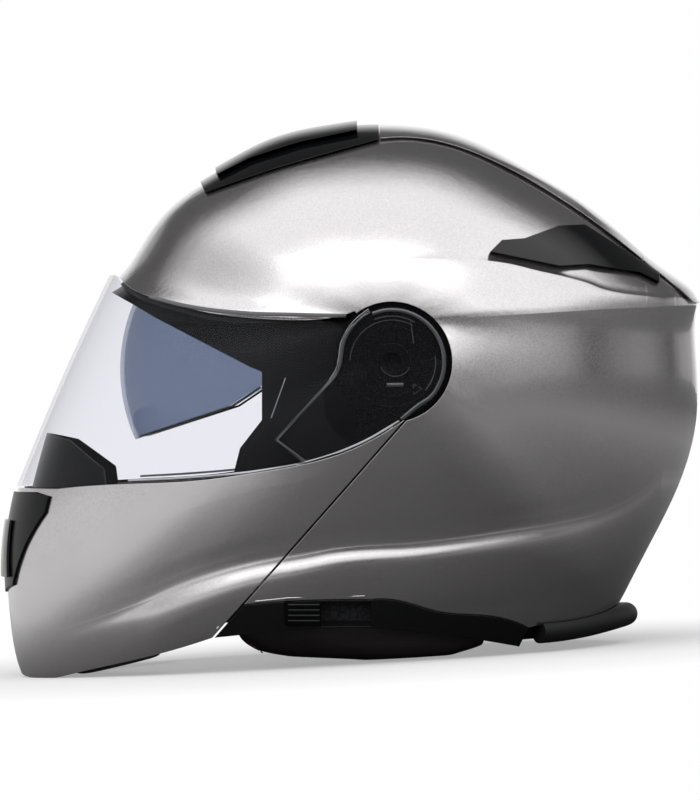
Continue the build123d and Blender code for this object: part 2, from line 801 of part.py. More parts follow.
with BuildPart() as rim_trim:
    with BuildLine():
        add(swept_path(rim_path_shares))
    rim_path = swept_path(rim_path_shares)
    with BuildSketch(Plane(origin=rim_path @ 0, z_dir=rim_path % 0)):
        Circle(rim_radius)
    sweep()
    add(under_patch(groove_runs, -part_gap, shell_wall + part_gap), mode=Mode.SUBTRACT)
save("rim_trim", rim_trim.part)

roll_half_height = 8.0
roll_half_depth = 7.2
roll_path_shares = [(0.16, -0.37, 0.51), (0.227, -0.366, 0.35), (0.272, -0.362, 0.158), (0.2868, -0.36, 0.0)]
with BuildPart() as neck_roll:
    with BuildLine():
        add(swept_path(roll_path_shares))
    roll_path = swept_path(roll_path_shares)
    with BuildSketch(Plane(origin=roll_path @ 0, x_dir=side_vector(90), z_dir=roll_path % 0)):
        Ellipse(roll_half_height, roll_half_depth)
    sweep()
save("neck_roll", neck_roll.part)

# Top vent with its sliding cover, and the rear vents
vent_seat = 0.1
vent_base_rise = 1.5
cover_wall = 2.0
rear_vent_rise = 2.5
top_vent_runs = closed_run([
    (-0.262, 0.24), (-0.1709, 0.2697), (-0.0169, 0.314), (-0.017, 0.4), (-0.29, 0.4), (-0.272, 0.262),
])
top_vent_base = crown_patch(top_vent_runs, vent_base_rise, vent_seat)
save("top_vent_base", top_vent_base)
cover_runs = closed_run([
    (-0.246, 0.266), (-0.2, 0.289), (-0.1286, 0.3114), (-0.0477, 0.3286), (-0.0477, 0.4), (-0.28, 0.4),
])
top_vent_cover = crown_patch(cover_runs, vent_base_rise + part_gap + cover_wall, vent_base_rise + part_gap)
save("top_vent_cover", top_vent_cover)
rear_vent_runs = closed_run([
    (0.136, 0.1526), (0.1526, 0.1691), (0.1846, 0.172), (0.234, 0.1909), (0.272, 0.194), (0.378, 0.1277),
    (0.3766, 0.1137), (0.3483, 0.1271), (0.29, 0.1343), (0.2754, 0.1366), (0.2331, 0.1334),
])
rear_vent_pair = crown_patch(rear_vent_runs, rear_vent_rise, vent_seat)
for side, side_name in sides:
    save(f"rear_vent_{side_name}", one_side(rear_vent_pair, side))

# Front vent on the chin bar with its sliding shutter
front_vent_start = -0.42 * shell_length
front_vent_shares = [
    (0.0, -0.183), (0.14, -0.1814), (0.174, -0.187), (0.171, -0.21), (0.131, -0.257), (0.086, -0.314),
    (0.0, -0.326),
]
window_half_width = 26.0
window_low_share = -0.3
window_high_share = -0.225
front_frame_rise = 1.6
shutter_wall = 1.5
shutter_lap = 2.0
shutter_room = 0.6
shutter_seat = front_frame_rise + shutter_room


def mirrored(points):
    """Outline points followed by their mirror images across the middle plane."""
    return points + [(-first, second) for first, second in points[-2:0:-1]]


window_middle = (window_low_share + window_high_share) / 2 * shell_length
window_height = (window_high_share - window_low_share) * shell_length
with BuildPart() as front_vent_prism:
    with BuildSketch(cross_plane(front_vent_start)):
        with BuildLine():
            add(outline(closed_run(mirrored(front_vent_shares))))
        make_face()
    extrude(amount=half_span)
with BuildPart() as window_prism:
    with BuildSketch(cross_plane(front_vent_start)):
        with Locations((0, window_middle)):
            Rectangle(2 * window_half_width, window_height)
    extrude(amount=half_span)
with BuildPart() as shutter_prism:
    with BuildSketch(cross_plane(front_vent_start)):
        with Locations((0, window_middle)):
            Rectangle(2 * (window_half_width + shutter_lap), window_height + shutter_lap)
    extrude(amount=half_span)
front_runs = closed_run([(-far_share, -0.42), (-0.42, -0.42), (-0.42, -0.17), (-far_share, -0.17)])
with BuildPart() as front_vent_frame:
    add(under_patch(front_runs, -front_frame_rise, -vent_seat))
    add(front_vent_prism.part, mode=Mode.INTERSECT)
    add(window_prism.part, mode=Mode.SUBTRACT)
save("front_vent_frame", front_vent_frame.part)
with BuildPart() as front_vent_shutter:
    add(under_patch(front_runs, -shutter_seat - shutter_wall, -shutter_seat))
    add(shutter_prism.part, mode=Mode.INTERSECT)
save("front_vent_shutter", front_vent_shutter.part)

# Chin curtain under the chin bar and the release lever in front of it
curtain_runs = closed_run([
    (-0.32, -0.3952), (-0.4571, -0.4272), (-0.4571, -0.4385), (-0.4286, -0.436), (-0.32, -0.4092),
])
curtain_middle = 0.0286 * shell_length
curtain_low = -0.45 * shell_length
curtain_reach = 0.43 * shell_length
curtain_half_width = 0.6 * shell_half_width
with BuildPart() as chin_curtain:
    add(lining_body)
    add(side_prism(curtain_runs), mode=Mode.INTERSECT)
    with BuildSketch(level_plane(curtain_middle, curtain_low)):
        Ellipse(curtain_reach, curtain_half_width)
    extrude(amount=half_span, mode=Mode.SUBTRACT)
save("chin_curtain", chin_curtain.part)

lever_length = 12.0
lever_width = 26.0
lever_height = 5.4
lever_rounding = 3.0
lever_place = -0.492 * shell_length
lever_top = -0.4272 * shell_length
with BuildPart() as release_lever:
    with BuildSketch(level_plane(lever_place, lever_top)):
        RectangleRounded(lever_length, lever_width, lever_rounding)
    extrude(amount=-lever_height)
save("release_lever", release_lever.part)

# Latches: a striker pin on each side of the shell and a fork on the chin bar
striker_radius = 2.5
striker_rearward = -0.177 * shell_length
striker_up = -0.3086 * shell_length
striker_inner = 89.0
striker_length = 22.0
fork_face = 90.0
fork_wall = 5.0
fork_turn = 147.0
fork_length = 25.0
fork_width = 13.0
fork_toe = 3.5
fork_mouth = 16.0
housing_start = 7.0
housing_length = 20.0
housing_width = 17.0
for side, side_name in sides:
    outward = -side
    with BuildPart() as striker_pin:
        with BuildSketch(side_plane(striker_rearward, striker_up, side * striker_inner)):
            Circle(striker_radius)
        extrude(amount=outward * striker_length)
        add(lining_body, mode=Mode.INTERSECT)
    save(f"striker_pin_{side_name}", striker_pin.part)
    fork_origin = side_point(striker_rearward, striker_up, side * fork_face)
    fork_plane = Plane(origin=fork_origin, x_dir=side_vector(fork_turn), z_dir=(0, -1, 0))
    with BuildPart() as latch_fork:
        with BuildSketch(fork_plane):
            with Locations((-fork_toe, 0)):
                Rectangle(fork_length, fork_width, align=(Align.MIN, Align.CENTER))
            SlotOverall(fork_mouth, 2 * (striker_radius + part_gap), mode=Mode.SUBTRACT)
        extrude(amount=outward * fork_wall)
    save(f"latch_fork_{side_name}", latch_fork.part)
    with BuildPart() as latch_housing:
        with BuildSketch(fork_plane):
            with Locations((housing_start, 0)):
                Rectangle(housing_length, housing_width, align=(Align.MIN, Align.CENTER))
        extrude(amount=outward * striker_length)
        with BuildSketch(fork_plane):
            Rectangle(2 * half_span, fork_width + 2 * part_gap)
        extrude(amount=outward * (fork_wall + part_gap), mode=Mode.SUBTRACT)
        add(lining_body, mode=Mode.INTERSECT)
    save(f"latch_housing_{side_name}", latch_housing.part)

# Cheek blocks between the shell's sides and the cheek pads
widest_pad_share = 0.7
block_face = widest_pad_share * shell_half_width + part_gap
block_runs = closed_run([
    (-0.1143, -0.1743), (-0.0286, -0.2743), (0.1143, -0.34), (0.0857, -0.3571), (-0.1143, -0.3571),
    (-0.1286, -0.33), (-0.1143, -0.27), (-0.1571, -0.2571), (-0.1829, -0.1886), (-0.15, -0.16),
])
with BuildPart() as block_pair:
    add(lining_body)
    add(side_prism(block_runs), mode=Mode.INTERSECT)
    with BuildSketch(side_plane()):
        Rectangle(2 * shell_length, 2 * shell_length)
    extrude(amount=block_face, both=True, mode=Mode.SUBTRACT)
    add(frame_room.part, mode=Mode.SUBTRACT)
for side, side_name in sides:
    save(f"cheek_block_{side_name}", one_side(block_pair.part, side))

# Chin strap: webbing from each cheek block through a slit in the pad to the buckle
strap_wall = 1.8
strap_width = 22.0
strap_room = 0.6
strap_rearward = -0.0286 * shell_length
strap_shares = [(0.2389, -0.25), (0.2343, -0.284), (0.143, -0.354), (0.09, -0.3686), (0.0711, -0.3686)]


def strap_solid(side, wall, width):
    """One side's webbing, drawn across the helmet and given its width."""
    places = [(-side * first * shell_length, second * shell_length) for first, second in strap_shares]
    with BuildPart() as strap:
        with BuildSketch(cross_plane(strap_rearward - width / 2)):
            with BuildLine():
                middle = Polyline(*places)
                offset(middle, amount=wall / 2, side=Side.BOTH)
            make_face()
        extrude(amount=-width)
    return strap.part


anchor_radius = 8.0
anchor_wall = 1.0
strap_top_rearward = strap_rearward
strap_top_up = -0.26 * shell_length
for side, side_name in sides:
    strap = strap_solid(side, strap_wall, strap_width)
    save(f"chin_strap_{side_name}", strap)
    with BuildPart() as strap_anchor:
        with BuildSketch(side_plane(strap_top_rearward, strap_top_up, side * (block_face - part_gap))):
            Circle(anchor_radius)
        extrude(amount=side * anchor_wall)
    save(f"strap_anchor_{side_name}", strap_anchor.part)

# Buckle: a body on the left webbing, a toothed tongue on the right and a lever below
buckle_length = 30.0
buckle_width = 24.0
buckle_height = 9.0
buckle_start = 2.0
buckle_rounding = 2.0
tongue_wall = 1.6
tongue_width = 14.0
tooth_pitch = 2.0
tooth_height = 0.9
tooth_count = 8
lever_plate_wall = 2.0
lever_knuckle_radius = 1.9
trunnion_radius = 1.2
cheek_wall = 2.2
strap_end = strap_shares[-1][0] * shell_length
strap_low = strap_shares[-1][1] * shell_length
buckle_front = strap_rearward - buckle_width / 2
hinge_side = buckle_start + buckle_length - lever_knuckle_radius - part_gap
hinge_up = strap_low - buckle_height / 2 - part_gap - lever_knuckle_radius
strap_reach = strap_end - strap_wall / 2
tongue_tip = strap_reach - buckle_rounding - part_gap


def buckle_layer(offset_rearward):
    """Plane across the helmet at a distance behind the buckle's front face."""
    return cross_plane(buckle_front + offset_rearward)


with BuildPart() as buckle_body:
    with BuildSketch(buckle_layer(0)):
        with Locations((buckle_start, strap_low)):
            Rectangle(buckle_length, buckle_height, align=(Align.MIN, Align.CENTER))
    extrude(amount=-buckle_width)
    fillet(buckle_body.edges().filter_by(Axis(side_point(0, 0), side_vector(0))), radius=buckle_rounding)
    for layer in (0, buckle_width - cheek_wall):
        with BuildSketch(buckle_layer(layer)):
            with Locations((hinge_side, hinge_up)):
                Circle(lever_knuckle_radius + part_gap)
                Rectangle(2 * lever_knuckle_radius, 2 * lever_knuckle_radius + part_gap,
                          align=(Align.CENTER, Align.MIN))
        extrude(amount=-cheek_wall)
    with BuildSketch(buckle_layer(0)):
        with Locations((hinge_side, hinge_up)):
            Circle(trunnion_radius + running_clearance)
    extrude(amount=-buckle_width, mode=Mode.SUBTRACT)
    with BuildSketch(buckle_layer((buckle_width - strap_width) / 2 - part_gap)):
        with Locations((strap_reach - part_gap, strap_low)):
            Rectangle(buckle_length, strap_wall + 2 * part_gap, align=(Align.MIN, Align.CENTER))
    extrude(amount=-strap_width - 2 * part_gap, mode=Mode.SUBTRACT)
    with BuildSketch(buckle_layer((buckle_width - tongue_width) / 2 - part_gap)):
        with Locations((tongue_tip + part_gap, strap_low)):
            Rectangle(buckle_length, tongue_wall + 2 * part_gap + tooth_height, align=(Align.MAX, Align.CENTER))
    extrude(amount=-tongue_width - 2 * part_gap, mode=Mode.SUBTRACT)
save("buckle_body", buckle_body.part)

tongue_middle = strap_low - tooth_height / 2
with BuildPart() as buckle_tongue:
    with BuildSketch(buckle_layer((buckle_width - tongue_width) / 2)):
        with Locations((tongue_tip, tongue_middle)):
            Rectangle(tongue_tip + strap_reach - part_gap, tongue_wall, align=(Align.MAX, Align.CENTER))
        for tooth in range(tooth_count):
            with Locations((tongue_tip - tooth_pitch * (tooth + 1), tongue_middle + tongue_wall / 2)):
                Rectangle(tooth_pitch / 2, tooth_height, align=(Align.CENTER, Align.MIN))
    extrude(amount=-tongue_width)
save("buckle_tongue", buckle_tongue.part)

lever_plate_width = buckle_width - 2 * cheek_wall - 2 * part_gap
with BuildPart() as buckle_lever:
    with BuildSketch(buckle_layer(cheek_wall + part_gap)):
        with Locations((hinge_side, hinge_up)):
            Circle(lever_knuckle_radius)
        with Locations((hinge_side, hinge_up + lever_knuckle_radius)):
            Rectangle(hinge_side - buckle_start - buckle_rounding, lever_plate_wall, align=(Align.MAX, Align.MAX))
    extrude(amount=-lever_plate_width)
    with BuildSketch(buckle_layer(0)):
        with Locations((hinge_side, hinge_up)):
            Circle(trunnion_radius)
    extrude(amount=-buckle_width)
save("buckle_lever", buckle_lever.part)

# Cheek pads: crowned cushions, narrower at the front and the rear
pad_row_shares = [
    (-0.22, 0.506, 0.61, -0.384, -0.2),
    (-0.186, 0.457, 0.66, -0.4065, -0.166),
    (-0.114, 0.433, 0.69, -0.4155, -0.143),
    (-0.014, 0.441, widest_pad_share, -0.4195, -0.137),
    (0.08, 0.49, 0.675, -0.4135, -0.157),
    (0.137, 0.53, 0.62, -0.395, -0.229),
]
pad_rounding_share = 0.42
for side, side_name in sides:
    with BuildPart() as cheek_pad:
        for rearward, inner, outer, low, high in pad_row_shares:
            middle = -side * (inner + outer) / 2 * shell_half_width
            thickness = (outer - inner) * shell_half_width
            height = (high - low) * shell_length
            centre_up = (high + low) / 2 * shell_length
            with BuildSketch(cross_plane(rearward * shell_length)):
                with Locations((middle, centre_up)):
                    RectangleRounded(thickness, height, thickness * pad_rounding_share)
        loft()
        split(bisect_by=Plane.XY, keep=Keep.TOP)
        add(strap_solid(side, strap_wall + 2 * strap_room, strap_width + 2 * strap_room), mode=Mode.SUBTRACT)
        with BuildSketch(side_plane(strap_top_rearward, strap_top_up, side * block_face)):
            Circle(anchor_radius + strap_room)
        extrude(amount=side * (strap_wall + 2 * anchor_wall + 2 * strap_room), mode=Mode.SUBTRACT)
    save(f"cheek_pad_{side_name}", cheek_pad.part)
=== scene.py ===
"""Looks of a modular motorcycle helmet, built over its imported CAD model.

The helmet is a silver metallic shell with a chin bar that flips up, a clear visor over a
tinted sun visor, black vents and trims, a foam liner and a soft lining with cheek pads.
"""

import logging
import math
from dataclasses import dataclass, field
from enum import Enum

import bmesh
import bpy
from mathutils import Matrix, Vector
from mathutils.bvhtree import BVHTree


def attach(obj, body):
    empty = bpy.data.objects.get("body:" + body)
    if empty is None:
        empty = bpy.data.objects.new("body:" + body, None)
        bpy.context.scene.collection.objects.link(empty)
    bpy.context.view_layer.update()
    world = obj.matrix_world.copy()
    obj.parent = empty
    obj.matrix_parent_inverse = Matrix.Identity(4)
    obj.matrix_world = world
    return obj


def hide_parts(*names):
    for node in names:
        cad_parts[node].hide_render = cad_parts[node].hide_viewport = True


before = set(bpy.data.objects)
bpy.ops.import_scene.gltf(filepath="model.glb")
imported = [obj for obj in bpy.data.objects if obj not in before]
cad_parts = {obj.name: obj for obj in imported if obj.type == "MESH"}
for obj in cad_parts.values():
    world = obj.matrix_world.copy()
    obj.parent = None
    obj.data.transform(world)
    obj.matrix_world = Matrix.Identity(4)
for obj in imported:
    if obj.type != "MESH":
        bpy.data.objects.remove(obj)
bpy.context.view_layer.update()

logging.basicConfig(level=logging.INFO, format="%(name)s: %(message)s")
log = logging.getLogger("helmet")

MM = 0.001
# Degrees by which the helmet's own level line leans from the floor's.
TILT = 3.25
# Middle of the side pivots.
PIVOT = Vector((21.91 * MM, 0.0, 145.495 * MM))
# Corner points of a CAD mesh closer than this are one point.
WELD = 0.02 * MM
# Inputs of a map range that hold the ends of its reach.
REACH = ("From Min", "From Max")

# Pairs along a line. In the side view they are millimetres behind and above the pivot.
Route = tuple[tuple[float, float], ...]
Tree = bpy.types.NodeTree
Socket = bpy.types.NodeSocket


class Side(Enum):
    """The wearer's two sides, with the sign of each along Y."""

    LEFT = -1
    RIGHT = 1

    @property
    def word(self) -> str:
        """Name of the side as the CAD nodes spell it.

        Returns:
            The side's name in small letters.
        """
        return self.name.lower()


def side_vector(angle: float) -> Vector:
    """Unit vector in the side view.

    Args:
        angle: degrees from rearward towards up, in the helmet's own tilt.

    Returns:
        The vector in the row frame.
    """
    turn = math.radians(angle - TILT)
    return Vector((math.cos(turn), 0.0, math.sin(turn)))


def side_point(rearward: float, up: float, across: float = 0.0) -> Vector:
    """Point given from the pivot in the helmet's own tilt.

    Args:
        rearward: millimetres behind the pivot.
        up: millimetres above the pivot.
        across: millimetres from the middle plane, along Y.

    Returns:
        The point in metres, in the row frame.
    """
    place = side_vector(0) * rearward * MM + side_vector(90) * up * MM
    return PIVOT + place + Vector((0.0, across * MM, 0.0))


def linear(colour: str) -> tuple[float, float, float, float]:
    """Turn an sRGB hex colour into linear values.

    Args:
        colour: six hex digits after a hash.

    Returns:
        Red, green, blue and an alpha of one.
    """
    parts = [int(colour[place:place + 2], 16) / 255 for place in (1, 3, 5)]
    values = [part / 12.92 if part <= 0.04045 else ((part + 0.055) / 1.055) ** 2.4 for part in parts]
    return (values[0], values[1], values[2], 1.0)


def add_object(name: str, data: bpy.types.ID) -> bpy.types.Object:
    """Make an object and put it into the scene.

    Args:
        name: its name.
        data: its mesh, curve, camera or light.

    Returns:
        The new object.
    """
    made = bpy.data.objects.new(name, data)
    bpy.context.scene.collection.objects.link(made)
    return made


def add_node(tree: Tree, kind: str, settings: dict, links: dict) -> bpy.types.Node:
    """Add one node with its settings, socket values and incoming links.

    Args:
        tree: node tree that gets the node.
        kind: Blender's name for the node type.
        settings: attributes, or names or numbers of input sockets, with their values.
        links: names or numbers of input sockets with the output sockets that feed them.

    Returns:
        The new node.
    """
    node = tree.nodes.new(kind)
    for name, value in settings.items():
        if isinstance(name, str) and hasattr(node, name):
            setattr(node, name, value)
        else:
            node.inputs[name].default_value = value
    for name, socket in links.items():
        tree.links.new(socket, node.inputs[name])
    return node


@dataclass(frozen=True)
class Finish:
    """One finish: a Principled surface with a grain whose size is given in millimetres."""

    name: str
    colour: str
    deep_colour: str
    roughness: float
    roughness_spread: float
    metallic: float = 0.0
    coat: float = 0.0
    coat_roughness: float = 0.03
    specular: float = 0.5
    grain_mm: float = 0.6
    grain_depth_mm: float = 0.02
    grain_strength: float = 0.6
    grain_detail: float = 3.0
    mottle_mm: float = 40.0
    mottle_detail: float = 4.0
    edge_mm: float = 0.5
    edge_samples: int = 4

    def build(self) -> None:
        """Make the finished material."""
        material = bpy.data.materials.new(self.name)
        material.use_nodes = True
        surface = material.node_tree.nodes["Principled BSDF"]
        for name, value in (("Metallic", self.metallic), ("Coat Weight", self.coat),
                            ("Coat Roughness", self.coat_roughness), ("Specular IOR Level", self.specular),
                            ("Roughness", self.roughness)):
            surface.inputs[name].default_value = value
        coordinates = add_node(material.node_tree, "ShaderNodeTexCoord", {}, {})
        self.fill(material.node_tree, surface, coordinates.outputs["Object"])

    def fill(self, tree: Tree, surface: bpy.types.Node, place: Socket) -> None:
        """Give the surface its colour, roughness and grain.

        Args:
            tree: node tree of the material.
            surface: its surface node.
            place: object coordinates.
        """
        tree.links.new(self.mottle(tree, place), surface.inputs["Base Color"])
        grain = add_node(tree, "ShaderNodeTexNoise",
                         {"Scale": 1 / (self.grain_mm * MM), "Detail": self.grain_detail}, {"Vector": place})
        rough = add_node(tree, "ShaderNodeMapRange",
                         {"To Min": self.roughness - self.roughness_spread,
                          "To Max": self.roughness + self.roughness_spread}, {"Value": grain.outputs["Fac"]})
        tree.links.new(rough.outputs["Result"], surface.inputs["Roughness"])
        # Rounded edges catch the light as moulded ones do.
        edges = add_node(tree, "ShaderNodeBevel", {"samples": self.edge_samples, "Radius": self.edge_mm * MM}, {})
        bump = add_node(tree, "ShaderNodeBump",
                        {"Distance": self.grain_depth_mm * MM, "Strength": self.grain_strength},
                        {"Height": grain.outputs["Fac"], "Normal": edges.outputs["Normal"]})
        tree.links.new(bump.outputs["Normal"], surface.inputs["Normal"])

    def mottle(self, tree: Tree, place: Socket) -> Socket:
        """Slow variation of the colour over the surface.

        Args:
            tree: node tree of the material.
            place: coordinates to read.

        Returns:
            Colour socket that runs between the two colours of the finish.
        """
        cloud = add_node(tree, "ShaderNodeTexNoise",
                         {"Scale": 1 / (self.mottle_mm * MM), "Detail": self.mottle_detail}, {"Vector": place})
        # Inputs 6 and 7 of the mix are its colours.
        mix = add_node(tree, "ShaderNodeMix",
                       {"data_type": "RGBA", 6: linear(self.deep_colour), 7: linear(self.colour)},
                       {"Factor": cloud.outputs["Fac"]})
        return mix.outputs[2]


@dataclass(frozen=True)
class Crease:
    """A crease of the painted shell: a line in the side view and the relief across it.

    The line's points are millimetres behind and above the pivot. The relief's points are
    millimetres above the line, and how far the paint stands out or in there. The fade's
    points are millimetres behind the pivot and the share of the relief.
    """

    line: Route
    relief: Route
    fade: Route

    def follow(self, tree: Tree, value: Socket, points: Route) -> Socket:
        """Read a smooth curve through some points.

        Args:
            tree: node tree of the material.
            value: place along the curve.
            points: the curve's points, from its first place to its last.

        Returns:
            Socket with the curve's height at that place.
        """
        places = [place for place, _ in points]
        heights = [height for _, height in points]
        low, high = min(heights), max(heights)
        share = add_node(tree, "ShaderNodeMapRange", dict(zip(REACH, (places[0], places[-1]))), {"Value": value})
        curve = add_node(tree, "ShaderNodeFloatCurve", {}, {"Value": share.outputs["Result"]})
        shape = curve.mapping.curves[0]
        for number, (place, height) in enumerate(points):
            spot = ((place - places[0]) / (places[-1] - places[0]), (height - low) / (high - low))
            if number in (0, len(points) - 1):
                shape.points[0 if number == 0 else len(shape.points) - 1].location = spot
            else:
                shape.points.new(*spot)
        curve.mapping.update()
        back = add_node(tree, "ShaderNodeMapRange", {"To Min": low, "To Max": high},
                        {"Value": curve.outputs["Value"]})
        return back.outputs["Result"]

    def height(self, tree: Tree, rearward: Socket, up: Socket) -> Socket:
        """Relief of this crease over the whole side view.

        Args:
            tree: node tree of the material.
            rearward: millimetres behind the pivot.
            up: millimetres above the pivot.

        Returns:
            Socket with the relief in millimetres.
        """
        line = self.follow(tree, rearward, self.line)
        above = add_node(tree, "ShaderNodeMath", {"operation": "SUBTRACT"}, {0: up, 1: line})
        relief = self.follow(tree, above.outputs[0], self.relief)
        fade = self.follow(tree, rearward, self.fade)
        return add_node(tree, "ShaderNodeMath", {"operation": "MULTIPLY"}, {0: relief, 1: fade}).outputs[0]


# The ledge that runs back from the chin over the side trim and climbs at the rear.
LEDGE = Crease(
    line=((-159.4, -128.7), (-125.8, -116.7), (-92.2, -103.2), (-63.4, -95.1), (-44.2, -91.7), (-22.6, -87.9),
          (13.4, -85.5), (51.9, -80.7), (91.7, -74.4), (106.8, -69.9), (121.9, -62.2), (133.0, -53.0)),
    relief=((-64.0, 0.0), (-38.0, 2.2), (-20.0, 4.3), (-14.0, 4.0), (-2.0, -0.1), (2.0, -0.7), (14.0, -0.3),
            (34.0, 0.0)),
    fade=((-165.0, 0.0), (-125.0, 0.5), (-85.0, 1.0), (20.0, 0.9), (90.0, 0.45), (140.0, 0.25)))
# The line from above the pivot to the rear vent and on under it.
SHOULDER = Crease(
    line=((0.0, 50.6), (18.3, 51.6), (45.6, 50.7), (72.5, 45.6), (92.2, 41.1), (109.8, 35.8), (130.4, 33.8)),
    relief=((-56.0, 0.0), (-48.0, 0.005), (-36.0, 0.06), (-20.0, 0.25), (-5.0, 0.55), (-2.0, 0.5), (2.0, -0.2),
            (9.0, -0.15), (20.0, 0.0)),
    fade=((-2.0, 0.0), (20.0, 0.5), (45.0, 1.0), (130.0, 1.0), (140.0, 0.6)))
# The edge of the raised strip along the middle of the crown.
CREST = Crease(
    line=((-60.0, 104.0), (-30.0, 110.0), (-5.3, 110.2), (24.9, 106.1), (53.3, 98.1), (75.5, 88.4), (89.7, 79.9),
          (100.8, 70.8), (116.0, 60.7), (134.1, 44.5), (150.3, 26.8)),
    relief=((-30.0, 0.0), (-8.0, -0.5), (-3.0, -0.6), (3.0, 0.15), (8.0, 0.2), (20.0, 0.0)),
    fade=((-20.0, 0.0), (0.0, 1.0), (90.0, 1.0), (125.0, 0.0)))
CREASES = (LEDGE, SHOULDER, CREST)


@dataclass(frozen=True)
class FlakePaint(Finish):
    """Metallic paint: aluminium flakes in a pale base under a smooth clear coat."""

    flake_mm: float = 0.5
    flake_tilt: float = 0.16
    flake_depth_mm: float = 0.04
    flake_shades: tuple[float, float] = (0.88, 1.06)

    def creased(self, tree: Tree, place: Socket) -> Socket:
        """Normals of the painted shell with its creases.

        Args:
            tree: node tree of the material.
            place: object coordinates.

        Returns:
            Normal socket.
        """
        shifted = add_node(tree, "ShaderNodeVectorMath", {"operation": "SUBTRACT", 1: PIVOT}, {0: place})
        values = []
        for angle in (0, 90):
            dot = add_node(tree, "ShaderNodeVectorMath", {"operation": "DOT_PRODUCT", 1: side_vector(angle) / MM},
                           {0: shifted.outputs["Vector"]})
            values.append(dot.outputs["Value"])
        total = CREASES[0].height(tree, *values)
        for crease in CREASES[1:]:
            total = add_node(tree, "ShaderNodeMath", {"operation": "ADD"},
                             {0: total, 1: crease.height(tree, *values)}).outputs[0]
        edges = add_node(tree, "ShaderNodeBevel", {"samples": self.edge_samples, "Radius": self.edge_mm * MM}, {})
        bump = add_node(tree, "ShaderNodeBump", {"Distance": MM, "Strength": 1.0},
                        {"Height": total, "Normal": edges.outputs["Normal"]})
        return bump.outputs["Normal"]

    def fill(self, tree: Tree, surface: bpy.types.Node, place: Socket) -> None:
        """Lay the flakes in their base under the creased clear coat.

        Args:
            tree: node tree of the material.
            surface: its surface node.
            place: object coordinates.
        """
        # Real flakes are about 0.05 mm; they are drawn ten times as coarse so that they show.
        flakes = add_node(tree, "ShaderNodeTexVoronoi", {"Scale": 1 / (self.flake_mm * MM)}, {"Vector": place})
        base = self.mottle(tree, place)
        low, high = self.flake_shades
        spread = add_node(tree, "ShaderNodeMapRange", {"To Min": low, "To Max": high},
                          {"Value": flakes.outputs["Color"]})
        tint = add_node(tree, "ShaderNodeVectorMath", {"operation": "SCALE"},
                        {0: base, "Scale": spread.outputs["Result"]})
        tree.links.new(tint.outputs["Vector"], surface.inputs["Base Color"])
        rough = add_node(tree, "ShaderNodeMapRange",
                         {"To Min": self.roughness - self.roughness_spread,
                          "To Max": self.roughness + self.roughness_spread}, {"Value": flakes.outputs["Color"]})
        tree.links.new(rough.outputs["Result"], surface.inputs["Roughness"])
        creased = self.creased(tree, place)
        tree.links.new(creased, surface.inputs["Coat Normal"])
        bump = add_node(tree, "ShaderNodeBump", {"Distance": self.flake_depth_mm * MM, "Strength": self.flake_tilt},
                        {"Height": flakes.outputs["Color"], "Normal": creased})
        tree.links.new(bump.outputs["Normal"], surface.inputs["Normal"])


@dataclass(frozen=True)
class ClearSheet(Finish):
    """Transparent polycarbonate with a faint tint, thin enough to need no bending of light."""

    tint: str = "#f2f2fb"
    film: float = 0.08
    face_on: float = 0.006
    at_slant: float = 0.25
    steepness: float = 4.0

    def fill(self, tree: Tree, surface: bpy.types.Node, place: Socket) -> None:
        """Make the sheet mostly see-through, with a glossy reflection.

        Args:
            tree: node tree of the material.
            surface: its surface node.
            place: object coordinates.
        """
        tree.links.new(self.mottle(tree, place), surface.inputs["Base Color"])
        clear = add_node(tree, "ShaderNodeBsdfTransparent", {"Color": linear(self.tint)}, {})
        mix = add_node(tree, "ShaderNodeMixShader", {"Fac": self.film},
                       {1: clear.outputs["BSDF"], 2: surface.outputs["BSDF"]})
        gloss = add_node(tree, "ShaderNodeBsdfGlossy", {"Roughness": self.roughness}, {})
        # Reflection of one face of a thin sheet: faint face on, more where it is seen at a slant.
        edge = add_node(tree, "ShaderNodeLayerWeight", {"Blend": 0.5}, {})
        steep = add_node(tree, "ShaderNodeMath", {"operation": "POWER", 1: self.steepness},
                         {0: edge.outputs["Facing"]})
        rim = add_node(tree, "ShaderNodeMapRange", {"To Min": self.face_on, "To Max": self.at_slant},
                       {"Value": steep.outputs[0]})
        top = add_node(tree, "ShaderNodeMixShader", {},
                       {"Fac": rim.outputs["Result"], 1: mix.outputs["Shader"], 2: gloss.outputs["BSDF"]})
        tree.links.new(top.outputs["Shader"], tree.nodes["Material Output"].inputs["Surface"])


@dataclass(frozen=True)
class Weave(Finish):
    """Woven or knitted cloth with crossing threads at a real spacing."""

    thread_mm: float = 0.9
    grain_strength: float = 0.7
    sheen: float = 0.25
    wander: float = 0.4
    # Bands of the wave texture in one unit of length at scale one.
    bands: float = 3.14

    def fill(self, tree: Tree, surface: bpy.types.Node, place: Socket) -> None:
        """Cross the threads of the cloth.

        Args:
            tree: node tree of the material.
            surface: its surface node.
            place: object coordinates.
        """
        surface.inputs["Sheen Weight"].default_value = self.sheen
        waves = []
        for direction in ("X", "Z", "Y"):
            # One band of the wave is one thread.
            wave = add_node(tree, "ShaderNodeTexWave",
                            {"bands_direction": direction, "Scale": 1 / (self.thread_mm * MM) / self.bands,
                             "Distortion": self.wander},
                            {"Vector": place})
            waves.append(wave.outputs["Fac"])
        first = add_node(tree, "ShaderNodeMath", {"operation": "MULTIPLY"}, {0: waves[0], 1: waves[1]})
        height = add_node(tree, "ShaderNodeMath", {"operation": "ADD"}, {0: first.outputs[0], 1: waves[2]})
        tree.links.new(self.mottle(tree, place), surface.inputs["Base Color"])
        bump = add_node(tree, "ShaderNodeBump",
                        {"Distance": self.grain_depth_mm * MM, "Strength": self.grain_strength},
                        {"Height": height.outputs[0]})
        tree.links.new(bump.outputs["Normal"], surface.inputs["Normal"])


